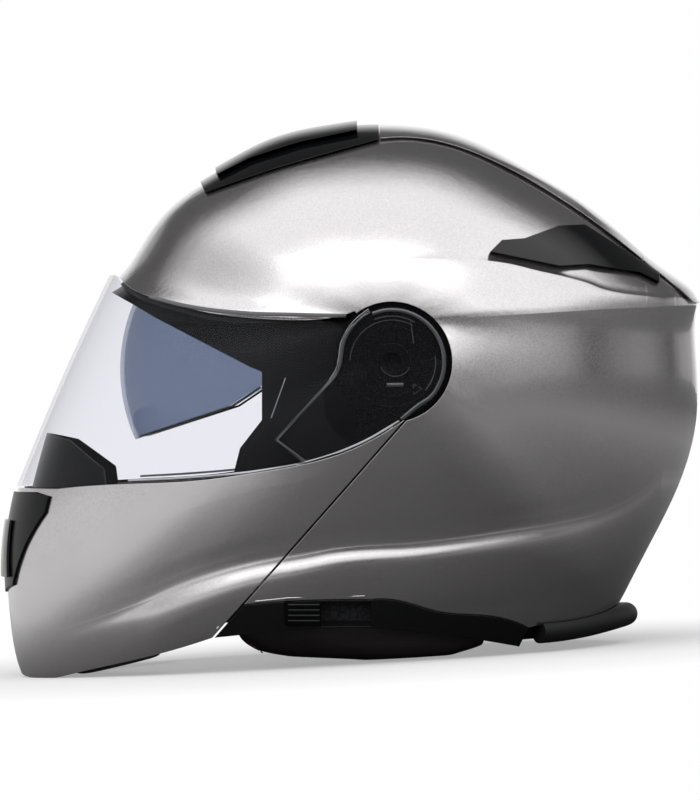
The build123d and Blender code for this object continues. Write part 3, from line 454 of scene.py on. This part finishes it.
@dataclass(frozen=True)
class Beads(Finish):
    """Moulded polystyrene foam: pressed beads with dark joints between them."""

    bead_mm: float = 3.0
    joint_share: float = 0.12
    grain_strength: float = 0.5

    def fill(self, tree: Tree, surface: bpy.types.Node, place: Socket) -> None:
        """Press the beads of the foam together.

        Args:
            tree: node tree of the material.
            surface: its surface node.
            place: object coordinates.
        """
        cells = add_node(tree, "ShaderNodeTexVoronoi",
                         {"feature": "DISTANCE_TO_EDGE", "Scale": 1 / (self.bead_mm * MM)}, {"Vector": place})
        joint = add_node(tree, "ShaderNodeMapRange", {"From Max": self.joint_share},
                         {"Value": cells.outputs["Distance"]})
        mix = add_node(tree, "ShaderNodeMix",
                       {"data_type": "RGBA", 6: linear(self.deep_colour), 7: linear(self.colour)},
                       {"Factor": joint.outputs["Result"]})
        tree.links.new(mix.outputs[2], surface.inputs["Base Color"])
        bump = add_node(tree, "ShaderNodeBump",
                        {"Distance": self.grain_depth_mm * MM, "Strength": self.grain_strength},
                        {"Height": joint.outputs["Result"]})
        tree.links.new(bump.outputs["Normal"], surface.inputs["Normal"])


# Silver base coat with aluminium flake under clear lacquer: bright where a lamp is
# mirrored, grey and slightly warm elsewhere, with a fine sparkle.
SILVER = FlakePaint("silver_metallic_paint", "#dedbdc", "#d3cfd1", 0.21, 0.04, metallic=0.95, coat=1.0)
# ABS moulded in a polished tool: deep black with a clean highlight.
GLOSS_BLACK = Finish("gloss_black_abs", "#101114", "#08090a", 0.12, 0.03, grain_mm=8.0, grain_depth_mm=0.01)
# ABS moulded in a fine spark-eroded tool: dull black with a soft highlight.
SATIN_BLACK = Finish("satin_black_abs", "#0b0c0d", "#070808", 0.3, 0.05, specular=0.15, grain_mm=0.7,
                     grain_depth_mm=0.004)
# Glass-filled nylon of the pivots: dark grey and slightly mottled.
NYLON = Finish("black_glass_filled_nylon", "#0a0a0b", "#060606", 0.28, 0.06, specular=0.15, grain_mm=0.9,
               grain_depth_mm=0.004)
# Clear polycarbonate with a hard coat: almost invisible, with a faint lavender tint.
CLEAR = ClearSheet("clear_polycarbonate", "#f2f2fa", "#e9e9f4", 0.02, 0.0, tint="#fafafc", film=0.004)
# Smoke tinted polycarbonate: blue grey, darker at the edges.
SMOKE = ClearSheet("smoke_polycarbonate", "#56616f", "#4a5462", 0.04, 0.0, tint="#d5dae3", film=0.03)
# Expanded polystyrene moulded from black beads: matt, with fine dark joints.
FOAM = Beads("black_polystyrene_foam", "#2c2d30", "#121314", 0.75, 0.0, specular=0.3, grain_depth_mm=0.12)
# Extruded rubber of the seals and the rim: matt black, a little dusty.
RUBBER = Finish("black_rubber", "#17181a", "#0e0f10", 0.55, 0.08, grain_mm=1.2, grain_depth_mm=0.03)
# Knitted polyester of the lining: dark grey with a soft sheen.
KNIT = Weave("charcoal_polyester_knit", "#2b2c30", "#1f2023", 0.85, 0.0, specular=0.2, grain_depth_mm=0.15)
# Woven polyester of the chin strap: black, with a coarse weave.
WEBBING = Weave("black_polyester_webbing", "#1a1b1d", "#101112", 0.7, 0.0, specular=0.3, thread_mm=1.4,
                grain_depth_mm=0.2)
# Leatherette of the pads: charcoal brown, with a pebbled grain.
LEATHERETTE = Finish("charcoal_leatherette", "#3a3334", "#241f20", 0.48, 0.1, grain_mm=1.3, grain_depth_mm=0.12)
# Turned and brushed steel of the pins and the latch parts: light grey with a soft sheen.
STEEL = Finish("brushed_steel", "#b4b5b8", "#9c9da1", 0.3, 0.08, metallic=1.0, grain_mm=0.5)
# Moulded polypropylene of the release lever and the buckle's lever: clear red, half gloss.
RED = Finish("red_polypropylene", "#c2171f", "#a80f18", 0.32, 0.05, grain_mm=0.8)
# Edge of a polycarbonate sheet and the glints along it: near white, a painted highlight for the light the edge
# gathers.
EDGE_HIGHLIGHT = Finish("polished_polycarbonate_edge", "#d9dae2", "#bfc0c9", 0.08, 0.02, coat=1.0, grain_mm=6.0,
                     grain_depth_mm=0.01)
# Edge of the smoke sheet: almost black.
DARK_EDGE = Finish("smoke_polycarbonate_edge", "#1d222b", "#14181f", 0.15, 0.03, coat=0.5, grain_mm=6.0,
                   grain_depth_mm=0.01)
# Raised facet of the visor over its black backing, and moulded lines on the black pivot arms: dark grey and glossy,
# the grey a painted highlight of their edges.
RIDGE_HIGHLIGHT = Finish("ridge_painted_highlight", "#53545a", "#47484e", 0.1, 0.02, coat=1.0, grain_mm=6.0,
               grain_depth_mm=0.01)
# Top edge of the visor against the brow seal: mid grey with a soft shine, a painted highlight.
BROW_HIGHLIGHT = Finish("frosted_polycarbonate_brow", "#77777b", "#68686c", 0.25, 0.05, grain_mm=1.0, grain_depth_mm=0.005)
# Twisted polyester sewing thread: dull red.
THREAD = Weave("red_thread", "#a3262c", "#7c1a20", 0.7, 0.0, thread_mm=0.3, grain_depth_mm=0.05)
FINISHES = (SILVER, GLOSS_BLACK, SATIN_BLACK, NYLON, CLEAR, SMOKE, FOAM, RUBBER, KNIT, WEBBING, LEATHERETTE,
            STEEL, RED, THREAD, EDGE_HIGHLIGHT, DARK_EDGE, RIDGE_HIGHLIGHT, BROW_HIGHLIGHT)

# Which CAD nodes have which finish; {side} stands for left and right.
CAD_FINISHES = {
    SILVER: ("outer_shell", "chin_shell"),
    GLOSS_BLACK: ("top_vent_base", "top_vent_cover", "rear_vent_{side}", "side_trim_{side}", "front_vent_shutter"),
    SATIN_BLACK: ("eyeport_frame", "breath_guard", "sun_visor_slider", "front_vent_frame", "buckle_body",
                  "buckle_tongue", "latch_housing_{side}"),
    NYLON: ("pivot_plate_{side}", "pivot_arm_{side}"),
    CLEAR: ("visor_lens",),
    SMOKE: ("sun_visor_lens",),
    FOAM: ("impact_liner", "chin_liner", "cheek_block_{side}"),
    RUBBER: ("brow_seal", "chin_seal", "rim_trim"),
    STEEL: ("sun_visor_pin_{side}", "striker_pin_{side}", "latch_fork_{side}", "strap_anchor_{side}"),
    RED: ("release_lever", "buckle_lever"),
}


def seat(made: bpy.types.Object, finish: Finish, body: str) -> None:
    """Give an object its finish and let it ride on a body.

    Args:
        made: the object.
        finish: what it is made of.
        body: CAD body that it moves with.
    """
    made.data.materials.clear()
    made.data.materials.append(bpy.data.materials[finish.name])
    for face in made.data.polygons:
        face.use_smooth = True
    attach(made, body)
    log.info("%s: %d faces", made.name, len(made.data.polygons))


def piece_of(name: str, mesh: bmesh.types.BMesh, finish: Finish, body: str) -> bpy.types.Object:
    """Make an object of a finished bmesh and let it ride on a body.

    Args:
        name: name of the piece.
        mesh: the shape; it is freed here.
        finish: what it is made of.
        body: CAD body that it moves with.

    Returns:
        The object.
    """
    data = bpy.data.meshes.new(name)
    mesh.to_mesh(data)
    mesh.free()
    made = add_object(name, data)
    seat(made, finish, body)
    return made


@dataclass
class SoftPiece:
    """A soft piece made from its CAD solid, rounded as cloth under a little pressure."""

    node: str
    name: str
    finish: Finish
    slot: str
    body: str = "shell"
    voxel: float = 4.0
    pressure: float = 4.0
    cap: float = 4.0
    shrink: float = 1.2
    fill: float = 0.8
    smoothing_rounds: int = 3
    smoothing_share: float = 0.5
    cloth_frames: int = 20
    cloth_quality: int = 5

    def remeshed(self) -> bpy.types.Object:
        """Copy the CAD solid into even faces, a little smaller than it is.

        Returns:
            The copy, outside any body.
        """
        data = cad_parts[self.node].data.copy()
        shape = bmesh.new()
        shape.from_mesh(data)
        bmesh.ops.remove_doubles(shape, verts=shape.verts, dist=WELD)
        shape.to_mesh(data)
        shape.free()
        made = add_object(self.name, data)
        grid = made.modifiers.new("even", "REMESH")
        grid.mode = "VOXEL"
        grid.voxel_size = self.voxel * MM
        self.apply(made)
        shape = bmesh.new()
        shape.from_mesh(made.data)
        for _ in range(self.smoothing_rounds):
            bmesh.ops.smooth_vert(shape, verts=shape.verts, factor=self.smoothing_share, use_axis_x=True,
                                  use_axis_y=True, use_axis_z=True)
        shape.normal_update()
        for vertex in shape.verts:
            vertex.co -= vertex.normal * self.shrink * MM
        shape.to_mesh(made.data)
        shape.free()
        return made

    def apply(self, made: bpy.types.Object) -> None:
        """Bake an object's modifiers into its mesh.

        Args:
            made: the object.
        """
        view = bpy.context.evaluated_depsgraph_get()
        view.update()
        baked = bpy.data.meshes.new_from_object(made.evaluated_get(view))
        made.modifiers.clear()
        made.data = baked

    def puffed(self, made: bpy.types.Object) -> None:
        """Blow the piece up as cloth, and keep each point within the cap of where it was.

        Args:
            made: the object to change.
        """
        before = [vertex.co.copy() for vertex in made.data.vertices]
        cloth = made.modifiers.new("puff", "CLOTH")
        cloth.settings.use_pressure = True
        cloth.settings.uniform_pressure_force = self.pressure
        cloth.settings.effector_weights.gravity = 0.0
        cloth.settings.quality = self.cloth_quality
        for number in range(1, self.cloth_frames + 1):
            bpy.context.scene.frame_set(number)
        self.apply(made)
        for vertex, start in zip(made.data.vertices, before):
            move = vertex.co - start
            if move.length > self.cap * MM:
                vertex.co = start + move.normalized() * self.cap * MM
        bpy.context.scene.frame_set(1)

    def build(self) -> None:
        """Make the piece and put it in the place of its CAD node."""
        made = self.remeshed()
        self.puffed(made)
        soft = made.modifiers.new("soft", "SUBSURF")
        soft.levels = soft.render_levels = 1
        self.apply(made)
        seat(made, self.finish, self.body)
        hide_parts(self.node)


def arc(radius: float, start: float, end: float, centre: tuple[float, float] = (0.0, 0.0),
        steps: int = 12) -> Route:
    """Points along an arc in the side view.

    Args:
        radius: in millimetres.
        start: first angle in degrees, from rearward towards up.
        end: last angle.
        centre: middle of the arc, behind and above the pivot.
        steps: number of points.

    Returns:
        The points, behind and above the pivot.
    """
    angles = [math.radians(start + (end - start) * step / (steps - 1)) for step in range(steps)]
    return tuple((centre[0] + radius * math.cos(angle), centre[1] + radius * math.sin(angle)) for angle in angles)


@dataclass
class Bead:
    """A raised line or band that follows a route in the side view and lies on a CAD node."""

    name: str
    node: str
    body: str
    slot: str
    finish: Finish
    route: Route
    width: float = 1.0
    rise: float = 0.3
    smooth: bool = True
    sides: tuple[Side, ...] = tuple(Side)
    ring_steps: int = 2
    run_steps: int = 6
    # Distances from the middle plane: outside the helmet, and near its side wall.
    outside: float = 250.0
    side_wall: float = 115.0

    def tube(self) -> bmesh.types.BMesh:
        """Round the route into a tube, flat in the side view.

        Returns:
            Mesh in millimetres: behind the pivot, outward, above the pivot.
        """
        data = bpy.data.curves.new("route", "CURVE")
        data.dimensions = "3D"
        data.bevel_depth = self.width / 2
        data.bevel_resolution = self.ring_steps
        data.use_fill_caps = True
        data.resolution_u = self.run_steps
        line = data.splines.new("BEZIER")
        line.bezier_points.add(len(self.route) - 1)
        for point, (rearward, up) in zip(line.bezier_points, self.route):
            point.co = (rearward, 0.0, up)
            point.handle_left_type = point.handle_right_type = "AUTO" if self.smooth else "VECTOR"
        made = add_object("route", data)
        view = bpy.context.evaluated_depsgraph_get()
        baked = bpy.data.meshes.new_from_object(made.evaluated_get(view))
        bpy.data.objects.remove(made)
        shape = bmesh.new()
        shape.from_mesh(baked)
        bpy.data.meshes.remove(baked)
        return shape

    def laid(self, side: Side) -> bmesh.types.BMesh:
        """Lay the tube on the node's outer face on one side.

        Args:
            side: which side of the helmet.

        Returns:
            Mesh in place.
        """
        shape = self.tube()
        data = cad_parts[self.node.format(side=side.word)].data
        ground = BVHTree.FromPolygons([vertex.co for vertex in data.vertices],
                                      [list(face.vertices) for face in data.polygons])
        flat = self.rise / (self.width / 2)
        inward = Vector((0.0, -side.value, 0.0))
        for vertex in shape.verts:
            rearward, outward, up = vertex.co
            start = side_point(rearward, up, side.value * self.outside)
            hit = ground.ray_cast(start, inward)[0]
            if hit is None:
                near = ground.find_nearest(side_point(rearward, up, side.value * self.side_wall))[0]
                hit = Vector((start.x, near.y, start.z))
            vertex.co = hit + Vector((0.0, side.value * outward * flat * MM, 0.0))
        bmesh.ops.recalc_face_normals(shape, faces=shape.faces)
        return shape

    def build(self) -> None:
        """Make the bead on each of its sides."""
        for side in self.sides:
            piece_of(f"{self.name}_{side.word}", self.laid(side), self.finish, self.body)


@dataclass
class EdgeSkin:
    """The cut edge of a clear sheet, a little proud: a near-white painted highlight on the clear visor, dark on the
    smoke one.
    """

    name: str
    node: str
    body: str
    slot: str
    finish: Finish
    reach: float = 4.5
    proud: float = 0.08
    inset: float = 0.02
    weld: float = 0.01
    clear_radius: float = 22.0

    def build(self) -> None:
        """Make the skin over the sheet's cut edge."""
        shape = bmesh.new()
        shape.from_mesh(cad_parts[self.node].data)
        bmesh.ops.remove_doubles(shape, verts=shape.verts, dist=self.weld * MM)
        shape.normal_update()
        ground = BVHTree.FromBMesh(shape)
        flat = []
        for face in shape.faces:
            start = face.calc_center_median() - face.normal * self.inset * MM
            hit = ground.ray_cast(start, -face.normal, self.reach * MM)[0]
            aside = face.calc_center_median() - PIVOT
            if hit is not None or math.hypot(aside.x, aside.z) < self.clear_radius * MM:
                flat.append(face)
        bmesh.ops.delete(shape, geom=flat, context="FACES")
        for vertex in shape.verts:
            vertex.co += vertex.normal * self.proud * MM
        piece_of(self.name, shape, self.finish, self.body)


@dataclass
class StrapPiece:
    """Webbing made from its CAD solid with rounded edges."""

    side: Side
    rounding: float = 0.5
    rounding_steps: int = 2
    flat_angle: float = 2.0
    sharp_angle: float = 40.0

    def build(self) -> None:
        """Make one side's webbing."""
        node = f"chin_strap_{self.side.word}"
        shape = bmesh.new()
        shape.from_mesh(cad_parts[node].data)
        bmesh.ops.remove_doubles(shape, verts=shape.verts, dist=WELD)
        bmesh.ops.dissolve_limit(shape, angle_limit=math.radians(self.flat_angle), verts=shape.verts,
                                 edges=shape.edges)
        sharp = [edge for edge in shape.edges if edge.calc_face_angle(0.0) > math.radians(self.sharp_angle)]
        bmesh.ops.bevel(shape, geom=sharp, offset=self.rounding * MM, segments=self.rounding_steps,
                        affect="EDGES", profile=0.5, material=-1)
        made = piece_of(f"webbing_{self.side.word}", shape, WEBBING, "shell")
        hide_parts(node)


@dataclass
class Studio:
    """Pale floor, a soft lamp, the room around and the camera at the photograph's angle."""

    distance: float = 3.0
    width_mm: float = 350.0
    centre: tuple[float, float] = (-20.15, -18.25)
    sensor_mm: float = 36.0
    farthest: float = 50.0
    lamp_place: tuple[float, float, float] = (-0.2, -1.4, 1.3)
    lamp_aim: tuple[float, float, float] = (0.0, 0.0, 0.2)
    lamp_size: tuple[float, float] = (2.0, 0.9)
    lamp_power: float = 3.0
    floor_half: float = 6.0
    floor_roughness: float = 0.9
    floor_colour: str = "#f4f4f4"
    # Distances from the helmet's middle between which the floor turns plain white, and its share of
    # plain white close by.
    shadow_reach: tuple[float, float] = (0.16, 0.32)
    near_share: float = 0.35
    # Heights, from level to straight up, between which the wall turns into the ceiling panel.
    panel_start: tuple[float, float] = (0.12, 0.34)
    # Places behind the helmet, and heights, between which the ceiling turns dark, and how dark.
    panel_end: tuple[float, float] = (0.1, 0.5)
    dark_start: tuple[float, float] = (0.12, 0.4)
    dark_share: float = 0.94
    # Places behind the helmet between which the white backdrop starts.
    backdrop_start: tuple[float, float] = (0.86, 0.98)
    # Places across the room, from ahead of the helmet to behind it, and how light it is there.
    wall_levels: Route = (
        (-1.0, 0.75), (1.0, 0.3), (-0.5, 0.6), (-0.15, 0.14), (0.08, 0.03), (0.3, 0.12), (0.55, 0.42), (0.78, 0.36),
        (0.88, 0.06))
    panel_levels: Route = (
        (-1.0, 0.4), (1.0, 0.15), (-0.85, 0.6), (-0.55, 1.25), (0.68, 1.25), (0.9, 0.4))
    floor_levels: Route = (
        (-1.0, 0.9), (1.0, 0.12), (-0.45, 0.8), (-0.12, 0.1), (0.15, 0.05), (0.5, 0.3))

    def camera(self) -> None:
        """Place the camera level with the helmet, on its left, rolled with its tilt."""
        data = bpy.data.cameras.new("camera")
        data.sensor_fit = "HORIZONTAL"
        data.sensor_width = self.sensor_mm
        data.lens = data.sensor_width * self.distance / (self.width_mm * MM)
        data.clip_end = self.farthest
        made = add_object("camera", data)
        right, up = side_vector(0), side_vector(90)
        place = side_point(*self.centre) + Vector((0.0, -self.distance, 0.0))
        turn = Matrix((right, up, right.cross(up))).transposed().to_4x4()
        made.matrix_world = Matrix.Translation(place) @ turn
        bpy.context.scene.camera = made

    def lamp(self) -> None:
        """Add the soft box above the camera's side."""
        data = bpy.data.lights.new("key_box", "AREA")
        data.shape = "RECTANGLE"
        data.size, data.size_y = self.lamp_size
        data.energy = self.lamp_power
        made = add_object("key_box", data)
        made.location = self.lamp_place
        made.rotation_euler = (Vector(self.lamp_aim) - made.location).to_track_quat("-Z", "Y").to_euler()

    def floor(self) -> None:
        """Add a wide white floor: plain white far off, with the helmet's shadow close by."""
        shape = bmesh.new()
        bmesh.ops.create_grid(shape, x_segments=1, y_segments=1, size=self.floor_half)
        data = bpy.data.meshes.new("floor")
        shape.to_mesh(data)
        shape.free()
        made = add_object("floor", data)
        material = bpy.data.materials.new("white_floor")
        material.use_nodes = True
        tree = material.node_tree
        surface = tree.nodes["Principled BSDF"]
        surface.inputs["Roughness"].default_value = self.floor_roughness
        place = add_node(tree, "ShaderNodeTexCoord", {}, {})
        parts = add_node(tree, "ShaderNodeSeparateXYZ", {}, {"Vector": place.outputs["Object"]})
        far = add_node(tree, "ShaderNodeVectorMath", {"operation": "LENGTH"}, {0: place.outputs["Object"]})
        share = add_node(tree, "ShaderNodeMapRange",
                         {**dict(zip(REACH, self.shadow_reach)), "To Min": self.near_share},
                         {"Value": far.outputs["Value"]})
        path = add_node(tree, "ShaderNodeLightPath", {}, {})
        # The paint mirrors a darker floor than the camera sees.
        tone = add_node(tree, "ShaderNodeMix", {"data_type": "RGBA", 7: linear(self.floor_colour)},
                        {"Factor": path.outputs["Is Camera Ray"],
                         6: self.greys(tree, parts.outputs["X"], self.floor_levels)})
        tree.links.new(tone.outputs[2], surface.inputs["Base Color"])
        seen = add_node(tree, "ShaderNodeMath", {"operation": "MULTIPLY"},
                        {0: share.outputs["Result"], 1: path.outputs["Is Camera Ray"]})
        white = add_node(tree, "ShaderNodeEmission", {"Strength": 1.0}, {})
        mix = add_node(tree, "ShaderNodeMixShader", {},
                       {"Fac": seen.outputs[0], 1: surface.outputs["BSDF"], 2: white.outputs["Emission"]})
        tree.links.new(mix.outputs["Shader"], tree.nodes["Material Output"].inputs["Surface"])
        data.materials.append(material)

    def greys(self, tree: Tree, value: Socket, levels: Route) -> Socket:
        """Grey levels along one direction of the room.

        Args:
            tree: node tree that gets the nodes.
            value: place from minus one to one.
            levels: places and their grey levels, the two ends first.

        Returns:
            Colour socket.
        """
        place = add_node(tree, "ShaderNodeMapRange", {"From Min": -1.0, "From Max": 1.0}, {"Value": value})
        ramp = add_node(tree, "ShaderNodeValToRGB", {}, {"Fac": place.outputs["Result"]})
        for number, (spot, level) in enumerate(levels):
            if number < 2:
                stop = ramp.color_ramp.elements[number]
                stop.position = (spot + 1) / 2
            else:
                stop = ramp.color_ramp.elements.new((spot + 1) / 2)
            stop.color = (level, level, level, 1.0)
        return ramp.outputs["Color"]

    def world(self) -> None:
        """White background; the paint mirrors grey walls, a bright panel overhead and a dark ceiling."""
        world = bpy.data.worlds.new("studio")
        bpy.context.scene.world = world
        world.use_nodes = True
        tree = world.node_tree
        sky = tree.nodes["Background"]
        place = add_node(tree, "ShaderNodeTexCoord", {}, {})
        parts = add_node(tree, "ShaderNodeSeparateXYZ", {}, {"Vector": place.outputs["Generated"]})
        wall = self.greys(tree, parts.outputs["X"], self.wall_levels)
        panel = self.greys(tree, parts.outputs["X"], self.panel_levels)
        # The soft ceiling panel starts a little above the walls and ends above the helmet: behind it the
        # ceiling is dark. The white backdrop lights the outline.
        panelled, behind, above, backdrop = (
            add_node(tree, "ShaderNodeMapRange", {**dict(zip(REACH, reach)), "To Max": most},
                     {"Value": parts.outputs[axis]}).outputs["Result"]
            for axis, reach, most in (("Z", self.panel_start, 1.0), ("Y", self.panel_end, 1.0),
                                      ("Z", self.dark_start, self.dark_share), ("Y", self.backdrop_start, 1.0)))
        both = add_node(tree, "ShaderNodeMix", {"data_type": "RGBA"}, {"Factor": panelled, 6: wall, 7: panel})
        dark = add_node(tree, "ShaderNodeMath", {"operation": "MULTIPLY"}, {0: behind, 1: above})
        ceiling = add_node(tree, "ShaderNodeMath", {"operation": "SUBTRACT", 0: 1.0}, {1: dark.outputs[0]})
        light = add_node(tree, "ShaderNodeVectorMath", {"operation": "SCALE"},
                         {0: both.outputs[2], "Scale": ceiling.outputs[0]})
        path = add_node(tree, "ShaderNodeLightPath", {}, {})
        clear = add_node(tree, "ShaderNodeMath", {"operation": "MAXIMUM"},
                         {0: path.outputs["Is Camera Ray"], 1: path.outputs["Is Transmission Ray"]})
        seen = add_node(tree, "ShaderNodeMath", {"operation": "MAXIMUM"}, {0: clear.outputs[0], 1: backdrop})
        shown = add_node(tree, "ShaderNodeMix", {"data_type": "RGBA", 7: linear("#ffffff")},
                         {"Factor": seen.outputs[0], 6: light.outputs["Vector"]})
        tree.links.new(shown.outputs[2], sky.inputs["Color"])
        sky.inputs["Strength"].default_value = 1.0

    def build(self) -> None:
        """Set up the whole studio."""
        self.camera()
        self.floor()
        self.world()
        self.lamp()
        bpy.context.scene.view_settings.view_transform = "Standard"


@dataclass
class VisorTrim:
    """Facets and edges of the clear visor and the sun visor."""

    facet: Route = ((-10.8, 24.5), (-16.3, 20.2), (-19.8, 16.2), (-22.5, 11.5), (-23.8, 7.7), (-24.5, 2.4),
                    (-25.9, -3.4), (-28.8, -8.2))
    facet_low: Route = ((-28.8, -8.2), (-55.7, -37.4), (-40.6, -49.0))
    facet_lobe: Route = arc(25.0, 112.0, -42.0) + ((13.0, -20.5), (4.5, -27.5))
    facet_width: float = 2.0
    facet_rise: float = 0.45
    insert: Route = ((-51.2, -7.7), (-58.1, -26.9))
    glint_outward: float = 1.045
    lower_edge: Route = ((-128.0, -57.4), (-100.0, -55.9), (-75.9, -53.8), (-63.4, -52.2), (-41.2, -48.1),
                         (-16.2, -39.4), (3.5, -28.4))
    brow: Route = ((-117.6, 31.8), (-97.7, 26.9), (-73.3, 23.8), (-44.3, 22.7), (-22.0, 22.2))
    sun_visor_edge: Route = ((-124.0, -36.4), (-77.2, -21.2), (-63.5, -12.0))

    def build(self) -> None:
        """Make the facets around the ears and the edges of both sheets."""
        sheet = {"node": "visor_lens", "body": "visor", "slot": "clear_visor"}
        # The facets are dark grey, lighter than the black behind the clear sheet: a painted highlight.
        strip = {**sheet, "finish": RIDGE_HIGHLIGHT, "width": self.facet_width, "rise": self.facet_rise}
        # The glints and the visor's cut edge are near white: painted highlights along the sheet's edges.
        glint = {**sheet, "finish": EDGE_HIGHLIGHT}
        outer = tuple((self.glint_outward * rearward, self.glint_outward * up) for rearward, up in self.facet)
        Bead("visor_facet_front", route=self.facet, **strip).build()
        Bead("visor_facet_low", route=self.facet_low, smooth=False, **strip).build()
        Bead("visor_facet_lobe", route=self.facet_lobe, **strip).build()
        Bead("visor_insert_edge", route=self.insert, width=0.4, rise=0.08, smooth=False, **glint).build()
        Bead("visor_facet_glint", route=outer, width=0.35, rise=0.5, **glint).build()
        Bead("visor_lower_glint", route=self.lower_edge, width=1.1, rise=0.25, **glint).build()
        # The brow band is mid grey: a painted highlight along the visor's top edge.
        Bead("visor_brow_band", route=self.brow, finish=BROW_HIGHLIGHT, width=2.0, rise=0.2, **sheet).build()
        Bead("sun_visor_rim", route=self.sun_visor_edge, node="sun_visor_lens", body="sun_visor",
             slot="tinted_visor", finish=DARK_EDGE, width=1.1, rise=0.2, smooth=False).build()
        EdgeSkin("visor_cut_edge", finish=EDGE_HIGHLIGHT, **sheet).build()
        EdgeSkin("sun_visor_cut_edge", "sun_visor_lens", "sun_visor", "tinted_visor", DARK_EDGE).build()


@dataclass
class PivotCover:
    """Moulded lines on the black flip-up arms, seen through the visor's ears."""

    boss: tuple[float, float] = (1.6, 0.7)
    catch: Route = ((-2.5, -11.0), (5.6, -11.0))
    front_stop: Route = ((9.0, 19.9), (10.4, 8.9))
    mark: Route = ((10.2, -10.7), (14.6, -12.7), (10.4, -15.6), (10.2, -10.7))

    def build(self) -> None:
        """Make the arcs, the catch slot and the small marks."""
        # The lines are dark grey on the black arms: a painted highlight of the moulded edges.
        arm = {"node": "pivot_arm_{side}", "body": "chin_bar", "slot": "arm_black", "finish": RIDGE_HIGHLIGHT}
        lines = {
            "arm_top_line": arc(22.0, 60.0, 112.0),
            "arm_inner_line": arc(20.2, 60.0, 178.0),
            "arm_rear_line": arc(21.0, 8.0, -40.0),
            "arm_boss_line": arc(7.6, -155.0, -25.0, self.boss),
            "arm_front_stop": self.front_stop,
        }
        for name, route in lines.items():
            Bead(name, route=route, width=0.6, rise=0.5, **arm).build()
        Bead("arm_catch", route=self.catch, width=2.2, rise=0.6, smooth=False, **arm).build()
        Bead("arm_mark", route=self.mark, width=0.5, rise=0.4, smooth=False, **arm).build()


@dataclass
class PaintedRims:
    """Rounded painted rims beside the joint of the chin bar and above the side trim."""

    chin: Route = ((0.5, -31.0), (-84.5, -128.8))
    shell: Route = ((-66.0, -115.6), (-50.0, -113.9), (-13.0, -113.0))
    width: float = 1.1
    rise: float = 0.4

    def build(self) -> None:
        """Make the rims on both sides."""
        paint = {"slot": "shell_paint", "finish": SILVER, "width": self.width, "rise": self.rise, "smooth": False}
        Bead("chin_rim", node="chin_shell", body="chin_bar", route=self.chin, **paint).build()
        Bead("shell_rim", node="outer_shell", body="shell", route=self.shell, **paint).build()


@dataclass
class PadStitches:
    """Red stitches along the front seam of the cheek pads."""

    count: int = 5
    start: tuple[float, float] = (-70.6, -135.6)
    end: tuple[float, float] = (-62.0, -142.0)
    length: float = 0.6
    thread: float = 0.7
    rise: float = 0.6

    def build(self) -> None:
        """Make the stitches on both sides."""
        for number in range(self.count):
            places = [(number + share) / self.count for share in (0.0, self.length)]
            route = tuple(tuple(a + (b - a) * place for a, b in zip(self.start, self.end)) for place in places)
            Bead(f"pad_stitch_{number + 1}", node="cheek_pad_{side}", body="shell", slot="pad_leather", finish=THREAD,
                 route=route, width=self.thread, rise=self.rise, smooth=False).build()


@dataclass
class SliderRibs:
    """Finger ribs of the sun visor's slider."""

    rows: tuple[float, ...] = (-117.2, -119.8, -122.4, -125.0)
    start: float = -50.0
    end: float = -34.8
    width: float = 1.3
    rise: float = 0.5

    def build(self) -> None:
        """Make one rib for each row."""
        for number, row in enumerate(self.rows):
            Bead(f"slider_rib_{number + 1}", node="sun_visor_slider", body="slider", slot="satin_black",
                 finish=GLOSS_BLACK, route=((self.start, row), (self.end, row)), width=self.width,
                 rise=self.rise, smooth=False, sides=(Side.LEFT,)).build()


@dataclass
class Helmet:
    """The whole helmet: dressed CAD nodes and the soft and small pieces over them."""

    soft: list[SoftPiece] = field(default_factory=lambda: [
        SoftPiece("cheek_pad_left", "pad_left", LEATHERETTE, "pad_leather"),
        SoftPiece("cheek_pad_right", "pad_right", LEATHERETTE, "pad_leather"),
        SoftPiece("neck_roll", "padded_neck_roll", LEATHERETTE, "pad_leather", voxel=3.0, cap=2.0, shrink=0.6),
        SoftPiece("comfort_liner", "crown_lining", KNIT, "comfort_cloth", cap=2.0, shrink=0.8),
        SoftPiece("chin_curtain", "wind_curtain", KNIT, "comfort_cloth", body="chin_bar", voxel=3.0, cap=1.0,
                  shrink=0.3, fill=0.3),
    ])

    def dress(self) -> None:
        """Give each CAD node its finish."""
        for finish, nodes in CAD_FINISHES.items():
            for node in dict.fromkeys(name.format(side=side.word) for name in nodes for side in Side):
                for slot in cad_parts[node].material_slots:
                    slot.material = bpy.data.materials[finish.name]

    def build(self) -> None:
        """Dress the nodes and make every piece."""
        for finish in FINISHES:
            finish.build()
        self.dress()
        for soft in self.soft:
            soft.build()
        for side in Side:
            StrapPiece(side).build()
        VisorTrim().build()
        PivotCover().build()
        PaintedRims().build()
        PadStitches().build()
        SliderRibs().build()


def main() -> None:
    """Build the studio and the helmet, in that order."""
    Studio().build()
    Helmet().build()


if __name__ == "__main__":
    main()
